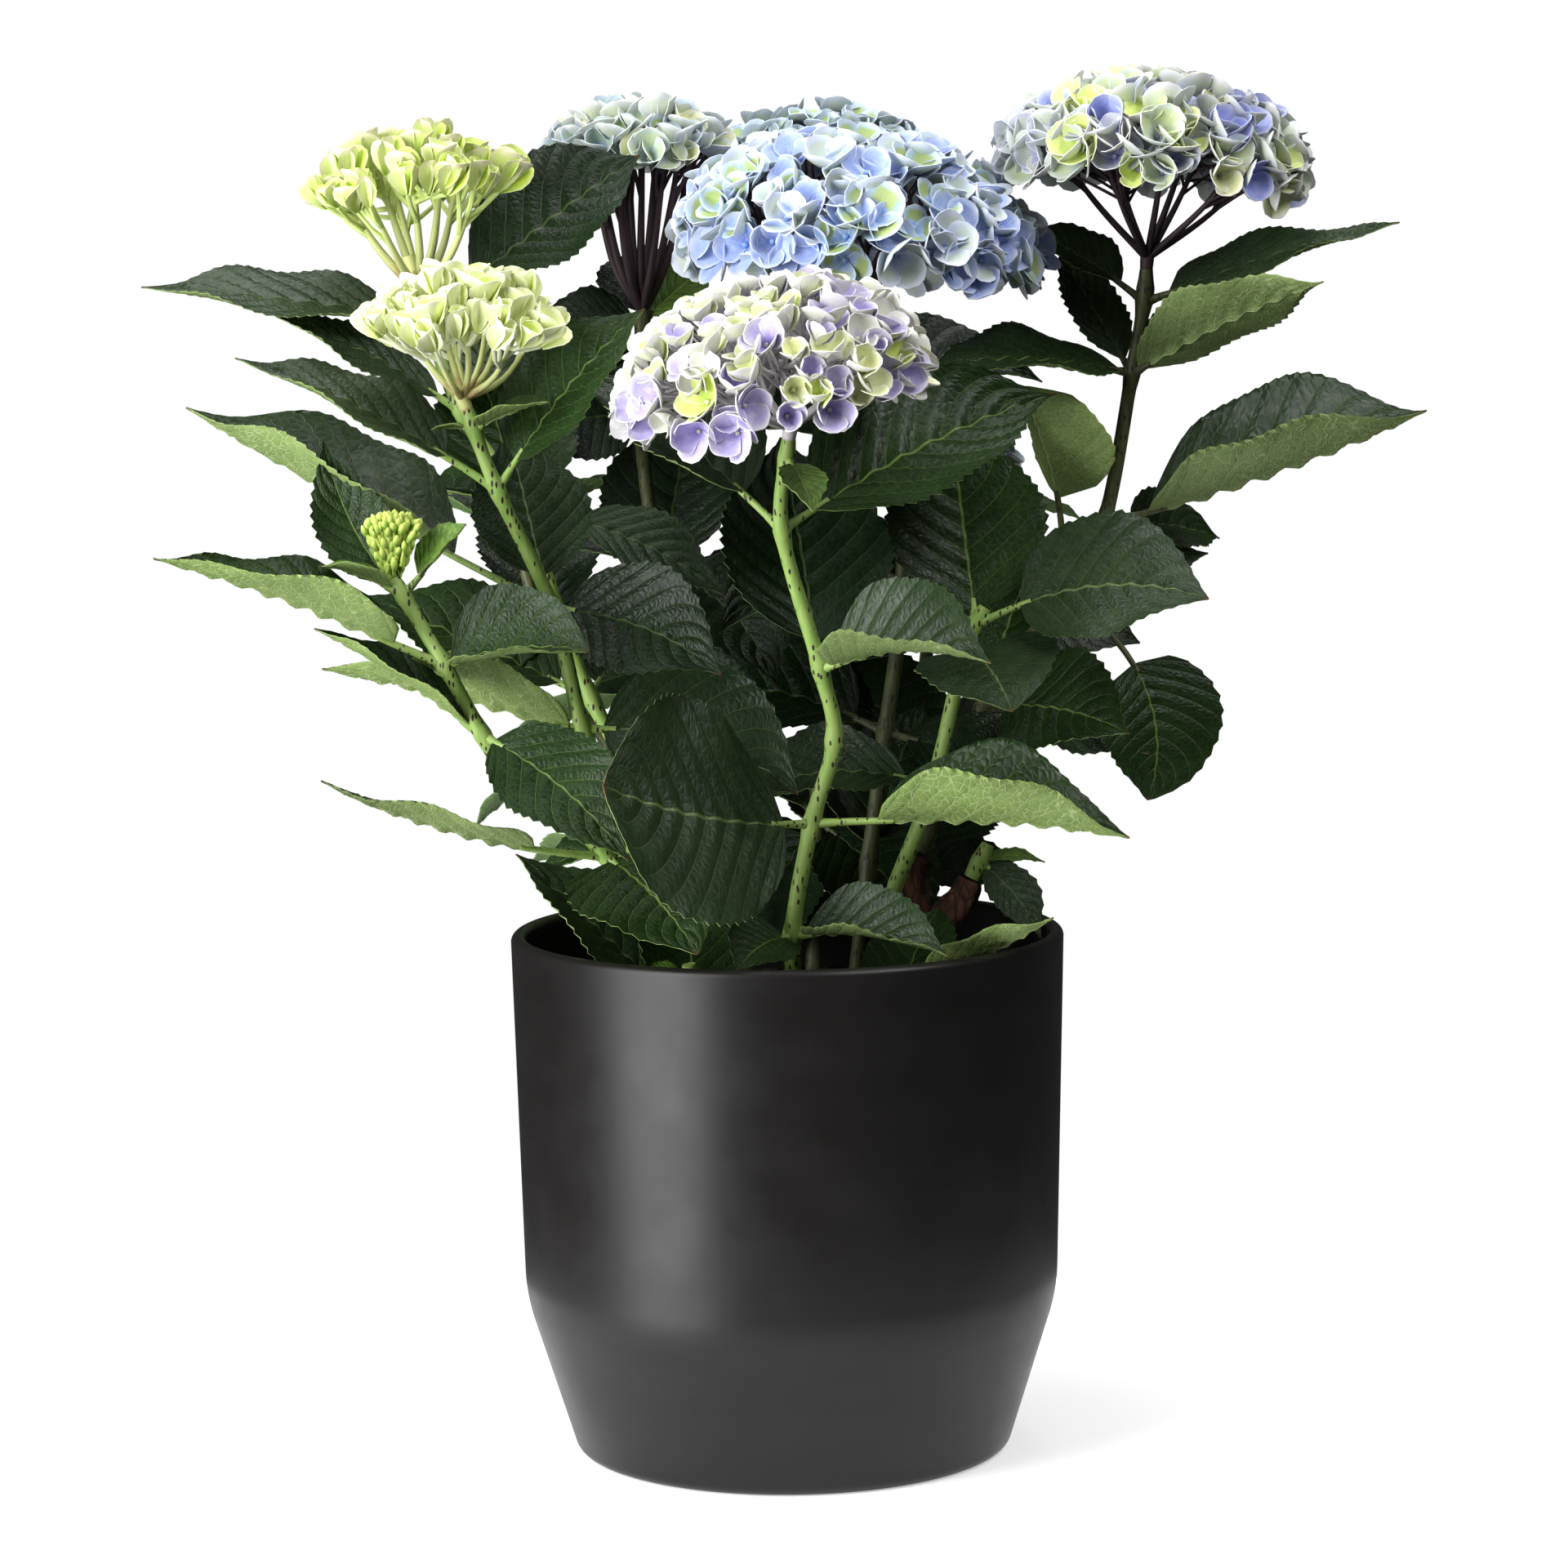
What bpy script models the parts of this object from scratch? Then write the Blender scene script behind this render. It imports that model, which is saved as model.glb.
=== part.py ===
"""A hydrangea in a round two-stage pot: upright stems with opposite leaves, each under a domed bloom.

Metres, +Z up. The origin is the middle of the pot's flat underside. Sizes below are in millimetres,
angles in degrees: a side of 0 points to +X, 90 to +Y, and -Y is the plant's front.
"""

import math

import bmesh
import bpy
from mathutils import Matrix, Vector
from mathutils.bvhtree import BVHTree

MM = 0.001
GAP = 0.3  # clearance between pieces that touch

# The pot: a cone below, a nearly straight wall above, and a rolled rim.
POT_HEIGHT = 209.0
POT_RIM_RADIUS = 110.0
POT_BREAK_RADIUS = 106.5
POT_BREAK_HEIGHT = 64.5
POT_FOOT_RADIUS = 88.0
POT_WALL = 6.0
POT_FLOOR = 9.0
POT_BREAK_SOFT = 9.0  # how far the soft break reaches on each side
POT_FOOT_ROUND = 6.0
POT_SIDES = 48

# The soil inside the pot.
SOIL_LEVEL = 177.0
SOIL_CROWN = 1.2
SOIL_TOP = SOIL_LEVEL + SOIL_CROWN
SOIL_CLEARANCE = 2 * GAP

# Stems, stalks and leaves.
STEM_RADIUS = 3.3
STEM_TIP_RADIUS = 2.6
STEM_SIDES = 6
STEM_STEP = 16.0
STALK_RADIUS = 1.7
LEAF_THICKNESS = 1.6
LEAF_STATIONS = (0.12, 0.3, 0.5, 0.72, 0.9)
LEAF_ROOM = 0.9  # room that a leaf keeps to everything round it
NODE_FREE = 9.0  # stretch of a leaf that may lie beside the others of its node
STEM_FREE = 16.0  # stretch of a leaf that may lie beside its own stem
FIRST_PAIR_DROP = 7.0  # a bare stem ends this far below its first leaves
TOP_PAIR_DROP = 7.5  # leaves at a stem's very top grow from this far below it, clear of the bloom

# What a leaf tries, in this order, where another leaf, stem or bloom is in its way: turn and lift.
GIVE_WAY = [(0, 0), (0, 7), (0, -7), (9, 0), (-9, 0), (9, 9), (-9, 9), (9, -9), (-9, -9)]
GIVE_WAY += [(0, 15), (0, -15), (18, 0), (-18, 0), (18, 12), (-18, 12), (18, -12), (-18, -12)]
GIVE_WAY += [(0, 26), (0, -26), (30, 8), (-30, 8), (30, -14), (-30, -14)]

GOLDEN_ANGLE = math.radians(137.508)


def leaf(side, rise, stalk, blade, wide=0.64, droop=25, roll=0, fold=20):
    """A leaf's place and pose: where it points, how it rises, bends down, rolls and folds, and its lengths."""
    return dict(side=side, rise=rise, stalk=stalk, blade=blade, wide=wide, droop=droop, roll=roll, fold=fold)


def pair(side, blade, rise=28, stalk=14, droop=52, face=0):
    """Two opposite leaves. With face, each rolls its upper side towards the front."""
    leaves = []
    for turn, longer in ((0, 0), (180, 4)):
        roll = face * math.cos(math.radians(side + turn))
        leaves.append(leaf(side + turn, rise, stalk, blade + longer, 0.66, droop, roll))
    return leaves


# Every shoot: the places of its nodes from the soil up, and the leaves at each node by its number.
SHOOTS = {
    "lilac": (
        [(4, -36, 180), (2, -46, 213), (10, -56, 258), (19, -62, 291), (14, -68, 319), (0, -80, 373), (3, -90, 408)],
        {
            1: [
                leaf(324, 12, 6, 68, 0.6, 30, 25, 40),
                leaf(236, 6, 6, 34, 0.9, 40, -30, 15),
            ],
            2: [
                leaf(218, 4, 14, 88, 1.1, -20, -64, 6),
                leaf(345, 9, 27, 98, 0.7, 18, 8, 48),
            ],
            4: [
                leaf(318, 20, 6, 80, 0.74, 34, 28, 44),
                leaf(105, 60, 12, 90, 0.8, 5, 0, 15),
            ],
            5: [
                leaf(150, 46, 22, 84, 0.66, 20, -18, 20),
                leaf(27, 34, 16, 114, 0.62, 12, 42, 24),
            ],
            6: [leaf(290, -21, 6, 28, 0.7, 30, 0, 15)],
        },
    ),
    "bud": (
        [(-38, -42, 180), (-69, -62, 247), (-100, -70, 270), (-115, -74, 296), (-129, -76, 323), (-148, -72, 356)],
        {
            1: [
                leaf(208, 12, 32, 92, 0.5, -10, 10, 40),
                leaf(306, -16, 4, 64, 1.05, 25, 20, 8),
            ],
            3: [
                leaf(325, -27, 6, 76, 0.62, 28, 36, 12),
                leaf(178, 40, 6, 70, 0.5, 15, -6, 20),
            ],
            4: [
                leaf(200, 27, 22, 98, 0.52, 14, -8, 34),
                leaf(345, 21, 3, 56, 0.95, 34, 32, 34),
            ],
            5: [
                leaf(145, 31, 9, 60, 0.6, -44, -40, 18),
                leaf(350, 52, 10, 27, 0.95, 10, 30, 20),
                leaf(184, 26, 6, 28, 0.6, 30, 0, 30),
            ],
        },
    ),
    "lime_front": (
        [(-40, -8, 180), (-62, -26, 250), (-78, -40, 294), (-89, -46, 342), (-109, -52, 388), (-120, -54, 419)],
        {
            2: [
                leaf(188, 14, 6, 98, 0.5, 5, 22, 36),
                leaf(342, 4, 8, 82, 0.8, 45, 55, 14),
            ],
            3: [
                leaf(160, 31, 46, 124, 0.5, 10, -6, 36),
                leaf(333, -2, 6, 72, 0.72, 35, 52, 14),
                leaf(122, 62, 14, 60, 0.85, -5, -12, 14),
            ],
            4: [
                leaf(186, 37, 24, 88, 0.6, 28, -20, 12),
                leaf(3, 52, 14, 76, 0.74, 20, 38, 16),
            ],
            5: [
                leaf(331, 18, 3, 26, 0.55, 20, 10, 15),
                leaf(170, 12, 3, 14, 0.6, 30, 0, 15),
            ],
        },
    ),
    "violet": (
        [(54, 20, 236), (80, 20, 295), (112, 28, 338), (129, 30, 367), (141, 34, 427), (146, 36, 455), (147, 36, 468)],
        {
            1: [
                leaf(310, 8, 14, 70, 0.74, 25, 48, 16),
                leaf(80, 28, 14, 80, 0.66, 55, 0, 20),
            ],
            2: [
                leaf(326, -12, 20, 76, 0.82, 100, 42, 10),
                leaf(215, 96, 40, 50, 1.05, 45, 0, 26),
            ],
            3: [
                leaf(340, 10, 26, 113, 0.74, -20, 22, 46),
                leaf(41, 7, 16, 56, 0.66, 20, 45, 14),
            ],
            4: [
                leaf(325, 26, 4, 84, 0.6, 12, -28, 14),
                leaf(208, 23, 6, 88, 0.5, 22, -5, 10),
                leaf(129, 37, 8, 60, 0.62, 0, -25, 16),
                leaf(33, 34, 10, 62, 0.6, 10, 30, 16),
            ],
            5: [
                leaf(341, 19, 18, 90, 0.52, 10, 22, 8),
                leaf(146, 40, 14, 52, 0.6, 25, -25, 20),
            ],
        },
    ),
    "right_leafy": (
        [(42, -8, 224), (58, -19, 268), (71, -22, 322), (79, -22, 338)],
        {
            1: [leaf(200, 20, 12, 70, 0.66, 50, -30, 18)],
            2: [leaf(285, -2, 6, 58, 1.0, 34, 12, 8)],
            3: [
                leaf(338, 17, 20, 72, 0.68, 30, 50, 14),
                leaf(105, 66, 6, 84, 0.66, -5, -8, 14),
            ],
        },
    ),
    "lime_back": (
        [(-22, 16, 180), (-44, 24, 240), (-78, 30, 300), (-104, 30, 375), (-128, 34, 415), (-141, 37, 452), (-146, 38, 470)],
        {
            1: [leaf(185, 4, 9, 60, 0.6, 30, -20, 20)],
            2: [
                leaf(172, 34, 14, 72, 0.6, 5, -30, 16),
                leaf(70, 30, 14, 84, 0.66, 45, 10, 20),
            ],
            3: [
                leaf(350, -7, 24, 66, 0.5, 34, 44, 14),
                leaf(130, 30, 14, 86, 0.66, 50, -10, 20),
            ],
            4: [
                leaf(198, 32, 12, 84, 0.5, 20, -14, 10),
                leaf(75, 32, 12, 78, 0.64, 45, 10, 20),
            ],
            5: [
                leaf(186, 15, 8, 106, 0.5, 20, -12, 8),
                leaf(8, 47, 24, 84, 0.68, 8, 42, 14),
            ],
        },
    ),
    "blue": (
        [(26, 2, 180), (33, 5, 235), (40, 8, 286), (48, 14, 345), (44, 20, 397), (34, 25, 458)],
        {
            1: [leaf(70, 18, 12, 84, 0.66, 40, 10, 20)],
            2: [
                leaf(325, 3, 10, 66, 0.6, 22, 45, 15),
                leaf(150, 28, 14, 92, 0.66, 50, -40, 20),
            ],
            3: pair(240, 88, face=45),
            4: [
                leaf(302, 8, 12, 62, 0.7, 40, 40, 16),
                leaf(150, 28, 14, 84, 0.66, 50, -30, 20),
            ],
        },
    ),
    "pale": (
        [(-14, 28, 180), (-38, 55, 298), (-50, 66, 345), (-58, 84, 410), (-56, 98, 456)],
        {
            1: [
                leaf(325, 14, 14, 76, 0.66, 45, 40, 15),
                leaf(150, 26, 14, 92, 0.66, 50, -10, 20),
            ],
            2: pair(120, 88, face=40),
            3: [
                leaf(205, 25, 4, 42, 0.8, 40, -30, 16),
                leaf(340, 18, 8, 66, 0.7, 40, 30, 16),
            ],
        },
    ),
    "grey_blue": (
        [(10, 36, 180), (13, 62, 245), (13, 80, 300), (16, 106, 368), (18, 122, 413), (20, 134, 468)],
        {
            1: [leaf(110, 20, 12, 84, 0.66, 45, 0, 20)],
            2: pair(20, 92, face=30),
            3: pair(100, 90, face=30),
            4: pair(10, 84, face=30),
        },
    ),
    "rear_left": (
        [(-20, 50, 180), (-38, 68, 214), (-68, 100, 262), (-100, 124, 318), (-112, 132, 360)],
        {
            1: [leaf(30, 22, 12, 78, 0.7, 45, 20, 16), leaf(140, 26, 12, 84, 0.66, 50, 0, 20)],
            2: pair(170, 90),
            3: pair(80, 88),
            4: pair(160, 70, rise=45),
        },
    ),
    "rear_right": (
        [(34, 46, 180), (43, 66, 216), (54, 96, 266), (62, 130, 322), (64, 146, 362)],
        {
            1: [leaf(350, 24, 12, 82, 0.7, 50, 30, 16), leaf(100, 24, 12, 84, 0.66, 50, 0, 20)],
            2: pair(20, 92),
            3: pair(100, 90),
            4: pair(20, 84),
        },
    ),
    "low_right": (
        [(40, -44, 180), (46, -50, 198)],
        {
            1: [leaf(339, 22, 8, 62, 0.5, -10, -10, 30)],
        },
    ),
    "low_left": (
        [(-34, -66, 180), (-38, -70, 206)],
        {
            1: [leaf(205, 24, 3, 18, 0.9, 30, -30, 12)],
        },
    ),
    "stub": (
        [(74, 14, 226), (81, 14, 240)],
        {
            1: [
                leaf(338, -24, 3, 36, 0.5, 30, 45, 10),
                leaf(20, 2, 3, 26, 0.36, 40, 30, 10),
            ],
        },
    ),
}

# Every bloom: radius, height of its dome, height of its top above the stem, how far round its florets
# reach, how many there are, their radius, and the side and angle it leans to.
BLOOMS = {
    "lilac": dict(radius=53, dome=34, top=56, reach=108, florets=30, floret=12, lean=(215, 11)),
    "lime_front": dict(radius=37, dome=18, top=50, reach=96, florets=17, floret=10.5, lean=(0, 0)),
    "violet": dict(radius=63, dome=36, top=80, reach=106, florets=34, floret=13.5, lean=(0, 3)),
    "lime_back": dict(radius=43, dome=17, top=54, reach=96, florets=18, floret=11, lean=(0, 0)),
    "blue": dict(radius=70, dome=40, top=64, reach=108, florets=36, floret=14, lean=(180, 3)),
    "pale": dict(radius=35, dome=20, top=80, reach=94, florets=14, floret=11.5, lean=(0, 0)),
    "grey_blue": dict(radius=41, dome=25, top=68, reach=98, florets=16, floret=12.5, lean=(0, 0)),
    "rear_right": dict(radius=37, dome=23, top=48, reach=100, florets=15, floret=11.5, lean=(60, 12)),
}
RAYS = 7
RAY_RADIUS = 1.1
RAY_START = 4.0
RAY_BOW = 0.06  # how far a ray bows up, as a share of the bloom's height
BLOOM_FOOT = 7.0
CORE_SIDES = 10
CORE_ROWS = (0.3, 0.62, 0.88, 1.0)  # rings of the core, as shares of its reach
CORE_INSET = 0.3  # how far the core lies under its florets, as a share of their radius
CORE_DEPTH = 9.0
FLORET_ROOT = 7.0
FLORET_CUP = 0.3  # how far the sepals' tips stand up, as a share of their length

# The flower bud on the shoot at the front left: a closed head of small green buds.
BUD_RADIUS = 13.0
BUD_HEIGHT = 28.0
BUD_FOOT = 5.0

# The old wood that the right-hand shoots rise from: a stump with two arms and a cut stub.
WOOD_FOOT = (50, 14, SOIL_TOP + GAP)
WOOD_FORK = (48, 12, 204)
WOOD_ARMS = {"violet": 7.0, "right_leafy": 6.0, "stub": 5.5}  # radius of the arm under each shoot
WOOD_RADIUS = 9.5
WOOD_FLARE = 13.0

COLOURS = {
    "pot": (0.012, 0.011, 0.011),
    "soil": (0.018, 0.012, 0.008),
    "wood": (0.09, 0.035, 0.02),
    "stem": (0.18, 0.33, 0.06),
    "foliage": (0.02, 0.055, 0.015),
    "bud": (0.45, 0.62, 0.08),
    "lilac": (0.62, 0.58, 0.72),
    "lime_front": (0.66, 0.75, 0.25),
    "lime_back": (0.52, 0.65, 0.15),
    "pale": (0.42, 0.52, 0.5),
    "grey_blue": (0.22, 0.34, 0.52),
    "blue": (0.3, 0.42, 0.78),
    "violet": (0.32, 0.33, 0.62),
    "rear_right": (0.3, 0.36, 0.6),
}
ROUGHNESS = {"pot": 0.42, "soil": 0.95, "wood": 0.9, "stem": 0.5, "foliage": 0.4}


# ---------------------------------------------------------------- curves


def smooth_way(points, step=STEM_STEP):
    """A Catmull-Rom curve through the points, in millimetres, with a station about every step."""
    points = [Vector(point) for point in points]
    ends = [2 * points[0] - points[1], *points, 2 * points[-1] - points[-2]]
    way = []
    for before, start, end, after in zip(ends, ends[1:], ends[2:], ends[3:]):
        count = max(1, round((end - start).length / step))
        for index in range(count):
            t = index / count
            way.append(
                0.5
                * (
                    2 * start
                    + t * (end - before)
                    + t * t * (2 * before - 5 * start + 4 * end - after)
                    + t**3 * (3 * start - before - 3 * end + after)
                )
            )
    way.append(points[-1])
    return way


def cut_way(way, from_mm, to_mm):
    """The stretch of a way between two distances along it."""
    lengths = [0.0]
    for start, end in zip(way, way[1:]):
        lengths.append(lengths[-1] + (end - start).length)

    def at(distance):
        for index in range(len(way) - 1):
            if distance <= lengths[index + 1] or index == len(way) - 2:
                share = (distance - lengths[index]) / (lengths[index + 1] - lengths[index])
                return way[index].lerp(way[index + 1], share)

    inner = [point for point, length in zip(way, lengths) if from_mm + 2 < length < to_mm - 2]
    return [at(from_mm), *inner, at(to_mm)]


def way_length(way):
    return sum((end - start).length for start, end in zip(way, way[1:]))


def leaf_spine(root, spec, shares):
    """Points, directions and left-hand vectors along a leaf's stalk and midrib at shares of its length."""
    length = spec["stalk"] + spec["blade"]
    side = math.radians(spec["side"])
    steps = 40
    place = Vector(root)
    places = [place.copy()]
    headings = []
    for index in range(steps):
        share = (index + 0.5) / steps
        rise = math.radians(spec["rise"] - spec["droop"] * share**1.2)
        heading = Vector((math.cos(rise) * math.cos(side), math.cos(rise) * math.sin(side), math.sin(rise)))
        headings.append(heading)
        place = place + heading * (length / steps)
        places.append(place.copy())
    level = Vector((-math.sin(side), math.cos(side), 0))
    roll = math.radians(spec["roll"])
    found = []
    for share in shares:
        spot = min(share * steps, steps - 1e-6)
        index = int(spot)
        point = places[index].lerp(places[index + 1], spot - index)
        heading = headings[index]
        up = heading.cross(level)
        left = level * math.cos(roll) + up * math.sin(roll)
        found.append((point, heading, left, heading.cross(left)))
    return found


def leaf_outline(t):
    """Half width of a leaf at t along its blade, as a share of the greatest."""
    return math.sin(math.pi * min(max(t, 0.0), 1.0) ** 0.8) ** 0.8 * (1 - 0.3 * t**4)


# ---------------------------------------------------------------- solids


def loft(rings, tip=None):
    """Vertices and faces of a closed solid through rings of equally many points, with a tip or a flat end."""
    sides = len(rings[0])
    points = [point for ring in rings for point in ring]
    faces = [tuple(reversed(range(sides)))]
    for row in range(len(rings) - 1):
        for side in range(sides):
            after = (side + 1) % sides
            low, high = row * sides, (row + 1) * sides
            faces.append((low + side, low + after, high + after, high + side))
    last = (len(rings) - 1) * sides
    if tip is None:
        faces.append(tuple(range(last, last + sides)))
    else:
        points.append(tip)
        for side in range(sides):
            faces.append((last + side, last + (side + 1) % sides, len(points) - 1))
    return points, faces


def tube(way, radii, sides=STEM_SIDES, level=False):
    """A closed tube along a way, with a radius for every station. A level one starts with a flat cut."""
    rings = []
    across = Vector((1, 0, 0))
    for index, point in enumerate(way):
        heading = (way[min(index + 1, len(way) - 1)] - way[max(index - 1, 0)]).normalized()
        across = (across - heading * across.dot(heading)).normalized()
        up = heading.cross(across)
        turns = [2 * math.pi * side / sides for side in range(sides)]
        ring = [point + radii[index] * (across * math.cos(a) + up * math.sin(a)) for a in turns]
        if level and index == 0:
            ring = [corner + heading * ((point.z - corner.z) / heading.z) for corner in ring]
        rings.append(ring)
    return loft(rings)


def leaf_solid(root, spec, room=0.0, start=0.0):
    """A folded blade on its stalk, four points round: one edge, the upper rib, the other edge, the lower rib."""
    length = spec["stalk"] + spec["blade"]
    stalk_share = spec["stalk"] / length
    shares = [start / length]
    if spec["stalk"] - start > 12:
        shares.append((start / length + stalk_share) / 2)
    if spec["stalk"] > start + 1:
        shares.append(stalk_share)
    stalk_rings = len(shares)
    stations = [t for t in LEAF_STATIONS if spec["stalk"] + t * spec["blade"] > start + 1]
    shares += [stalk_share + (1 - stalk_share) * t for t in stations]
    fold = math.radians(spec["fold"])
    half = spec["wide"] * spec["blade"] / 2
    rings = []
    for index, (point, _, left, up) in enumerate(leaf_spine(root, spec, shares)):
        if index < stalk_rings:
            out, lift, thick = STALK_RADIUS + room, 0.0, STALK_RADIUS + room
        else:
            t = stations[index - stalk_rings]
            width = half * leaf_outline(t) + room
            out, lift = width * math.cos(fold), width * math.sin(fold)
            thick = LEAF_THICKNESS / 2 * (1.1 - 0.5 * t) + room
        rings.append([point - left * out + up * lift, point + up * thick, point + left * out + up * lift, point - up * thick])
    tip = leaf_spine(root, spec, [1.0])[0]
    # The ring runs right, up, left, down seen along the leaf, so it is reversed to face out.
    return loft([list(reversed(ring)) for ring in rings], tip[0] + tip[1] * room)


def dome_point(bloom, lean, polar, turn, inset=0.0):
    """A point of a bloom's dome and its outward direction, from the top of the stem."""
    radius, dome = bloom["radius"] - inset, bloom["dome"] - inset
    centre = bloom["top"] - bloom["dome"]
    out = Vector((math.cos(turn), math.sin(turn), 0))
    place = out * (radius * math.sin(polar)) + Vector((0, 0, centre + dome * math.cos(polar)))
    facing = (out * (math.sin(polar) / radius) + Vector((0, 0, math.cos(polar) / dome))).normalized()
    return lean @ place, lean @ facing


def bloom_lean(bloom):
    side, angle = (math.radians(value) for value in bloom["lean"])
    return Matrix.Rotation(angle, 3, Vector((-math.sin(side), math.cos(side), 0)))


def floret_solid(place, facing, radius, twist):
    """Four pointed sepals as a shallow cup on a root that reaches into the bloom's core."""
    across = facing.orthogonal().normalized()
    along = facing.cross(across)
    turns = [twist + index * math.pi / 2 for index in range(4)]
    rim = [place + radius * (across * math.cos(a) + along * math.sin(a)) for a in turns]
    rim = [point + facing * (FLORET_CUP * radius) for point in rim]
    points = [*rim, place - facing * 0.1 * radius, place - facing * FLORET_ROOT]
    faces = []
    for index in range(4):
        after = (index + 1) % 4
        faces.append((index, after, 4))
        faces.append((after, index, 5))
    return points, faces


def bloom_solids(name, top, heading):
    """The parts of a bloom: its body, which is a short foot, rays and a dome-shaped core, and its florets."""
    bloom = BLOOMS[name]
    lean = bloom_lean(bloom)
    foot = top + heading * GAP
    neck = foot + heading * BLOOM_FOOT
    body = [tube([foot, neck], [STEM_TIP_RADIUS, STEM_TIP_RADIUS * 1.1])]
    inset = CORE_INSET * bloom["floret"]
    rows = [math.radians(bloom["reach"] - 6) * share for share in CORE_ROWS]
    turns = [2 * math.pi * side / CORE_SIDES for side in range(CORE_SIDES)]
    outer = [[foot + dome_point(bloom, lean, row, turn, inset)[0] for turn in turns] for row in rows]
    under = []
    for row in rows[:2]:
        under.append([foot + dome_point(bloom, lean, row, turn, inset + CORE_DEPTH)[0] for turn in turns])
    top_point = foot + dome_point(bloom, lean, 0.0, 0.0, inset)[0]
    body.append(loft([*under, *reversed(outer)], top_point))
    for index in range(RAYS):
        turn = index * GOLDEN_ANGLE
        polar = math.radians(bloom["reach"] - 14) * math.sqrt((index + 0.5) / RAYS)
        end = foot + dome_point(bloom, lean, polar, turn, inset + 3)[0]
        start = foot + heading * RAY_START
        knee = start.lerp(end, 0.5) + heading * (RAY_BOW * bloom["top"])
        body.append(tube([start, knee, end], [1.7 * RAY_RADIUS, 1.3 * RAY_RADIUS, RAY_RADIUS], 3))
    low = math.cos(math.radians(bloom["reach"]))
    florets = []
    for index in range(bloom["florets"]):
        polar = math.acos(1 - (1 - low) * (index + 0.5) / bloom["florets"])
        turn = index * GOLDEN_ANGLE
        place, facing = dome_point(bloom, lean, polar, turn)
        radius = bloom["floret"] * (1 + 0.1 * math.sin(5.1 * index))
        florets.append(floret_solid(foot + place, facing, radius, 1.7 * index))
    return body, florets


# ---------------------------------------------------------------- objects


def material(name, colour):
    made = bpy.data.materials.new(name)
    made.use_nodes = True
    shader = made.node_tree.nodes["Principled BSDF"]
    shader.inputs["Base Color"].default_value = (*colour, 1)
    shader.inputs["Roughness"].default_value = ROUGHNESS.get(name, 0.6)
    return made


def mesh_object(name, points, faces, finish=None):
    mesh = bpy.data.meshes.new(name)
    mesh.from_pydata([Vector(point) * MM for point in points], [], faces)
    mesh.update()
    made = bpy.data.objects.new(name, mesh)
    bpy.context.scene.collection.objects.link(made)
    if finish:
        mesh.materials.append(finish)
    return made


def keep_largest_body(mesh):
    """Drops loose scraps and the walls of sealed hollows, and welds what a union leaves split."""
    work = bmesh.new()
    work.from_mesh(mesh)
    bmesh.ops.triangulate(work, faces=work.faces)
    bmesh.ops.remove_doubles(work, verts=work.verts, dist=1e-6)
    bmesh.ops.dissolve_degenerate(work, edges=work.edges, dist=1e-6)
    bodies = []
    left = set(work.verts)
    while left:
        body = set()
        front = [left.pop()]
        while front:
            vert = front.pop()
            body.add(vert)
            for edge in vert.link_edges:
                other = edge.other_vert(vert)
                if other in left:
                    left.discard(other)
                    front.append(other)
        bodies.append(body)
    largest = max(bodies, key=len)
    bmesh.ops.delete(work, geom=[vert for vert in work.verts if vert not in largest], context="VERTS")
    bmesh.ops.triangulate(work, faces=work.faces)
    work.to_mesh(mesh)
    work.free()


def fused(name, solids, finish):
    """One body from overlapping solids: a Boolean union on a collection, applied."""
    base = mesh_object(name, *solids[0], finish)
    others = bpy.data.collections.new(name + "_parts")
    bpy.context.scene.collection.children.link(others)
    for index, solid in enumerate(solids[1:]):
        other = mesh_object(f"{name}_{index}", *solid)
        bpy.context.scene.collection.objects.unlink(other)
        others.objects.link(other)
    union = base.modifiers.new("union", "BOOLEAN")
    union.operation = "UNION"
    union.operand_type = "COLLECTION"
    union.collection = others
    union.solver = "MANIFOLD"
    bpy.context.view_layer.update()
    graph = bpy.context.evaluated_depsgraph_get()
    joined = bpy.data.meshes.new_from_object(base.evaluated_get(graph))
    base.modifiers.clear()
    base.data = joined
    joined.name = name
    for other in list(others.objects):
        bpy.data.objects.remove(other)
    bpy.data.collections.remove(others)
    keep_largest_body(joined)
    return base


def arc(centre, radius, start, end, count):
    """Points of an arc in the turned profile's plane, from one angle to another."""
    angles = [math.radians(start + (end - start) * index / (count - 1)) for index in range(count)]
    return [(centre[0] + radius * math.cos(a), centre[1] + radius * math.sin(a)) for a in angles]


def turned(name, profile, sides, finish):
    """A solid of revolution from a profile that starts and ends on the axis, bottom to top."""
    rings = []
    for radius, height in profile[1:-1]:
        turns = [2 * math.pi * side / sides for side in range(sides)]
        rings.append([Vector((radius * math.cos(a), radius * math.sin(a), height)) for a in turns])
    points, faces = loft(rings, Vector((0, 0, profile[-1][1])))
    made = mesh_object(name, points, faces, finish)
    made.data.shade_smooth()
    made.data.set_sharp_from_angle(angle=math.radians(35))
    return made


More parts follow.
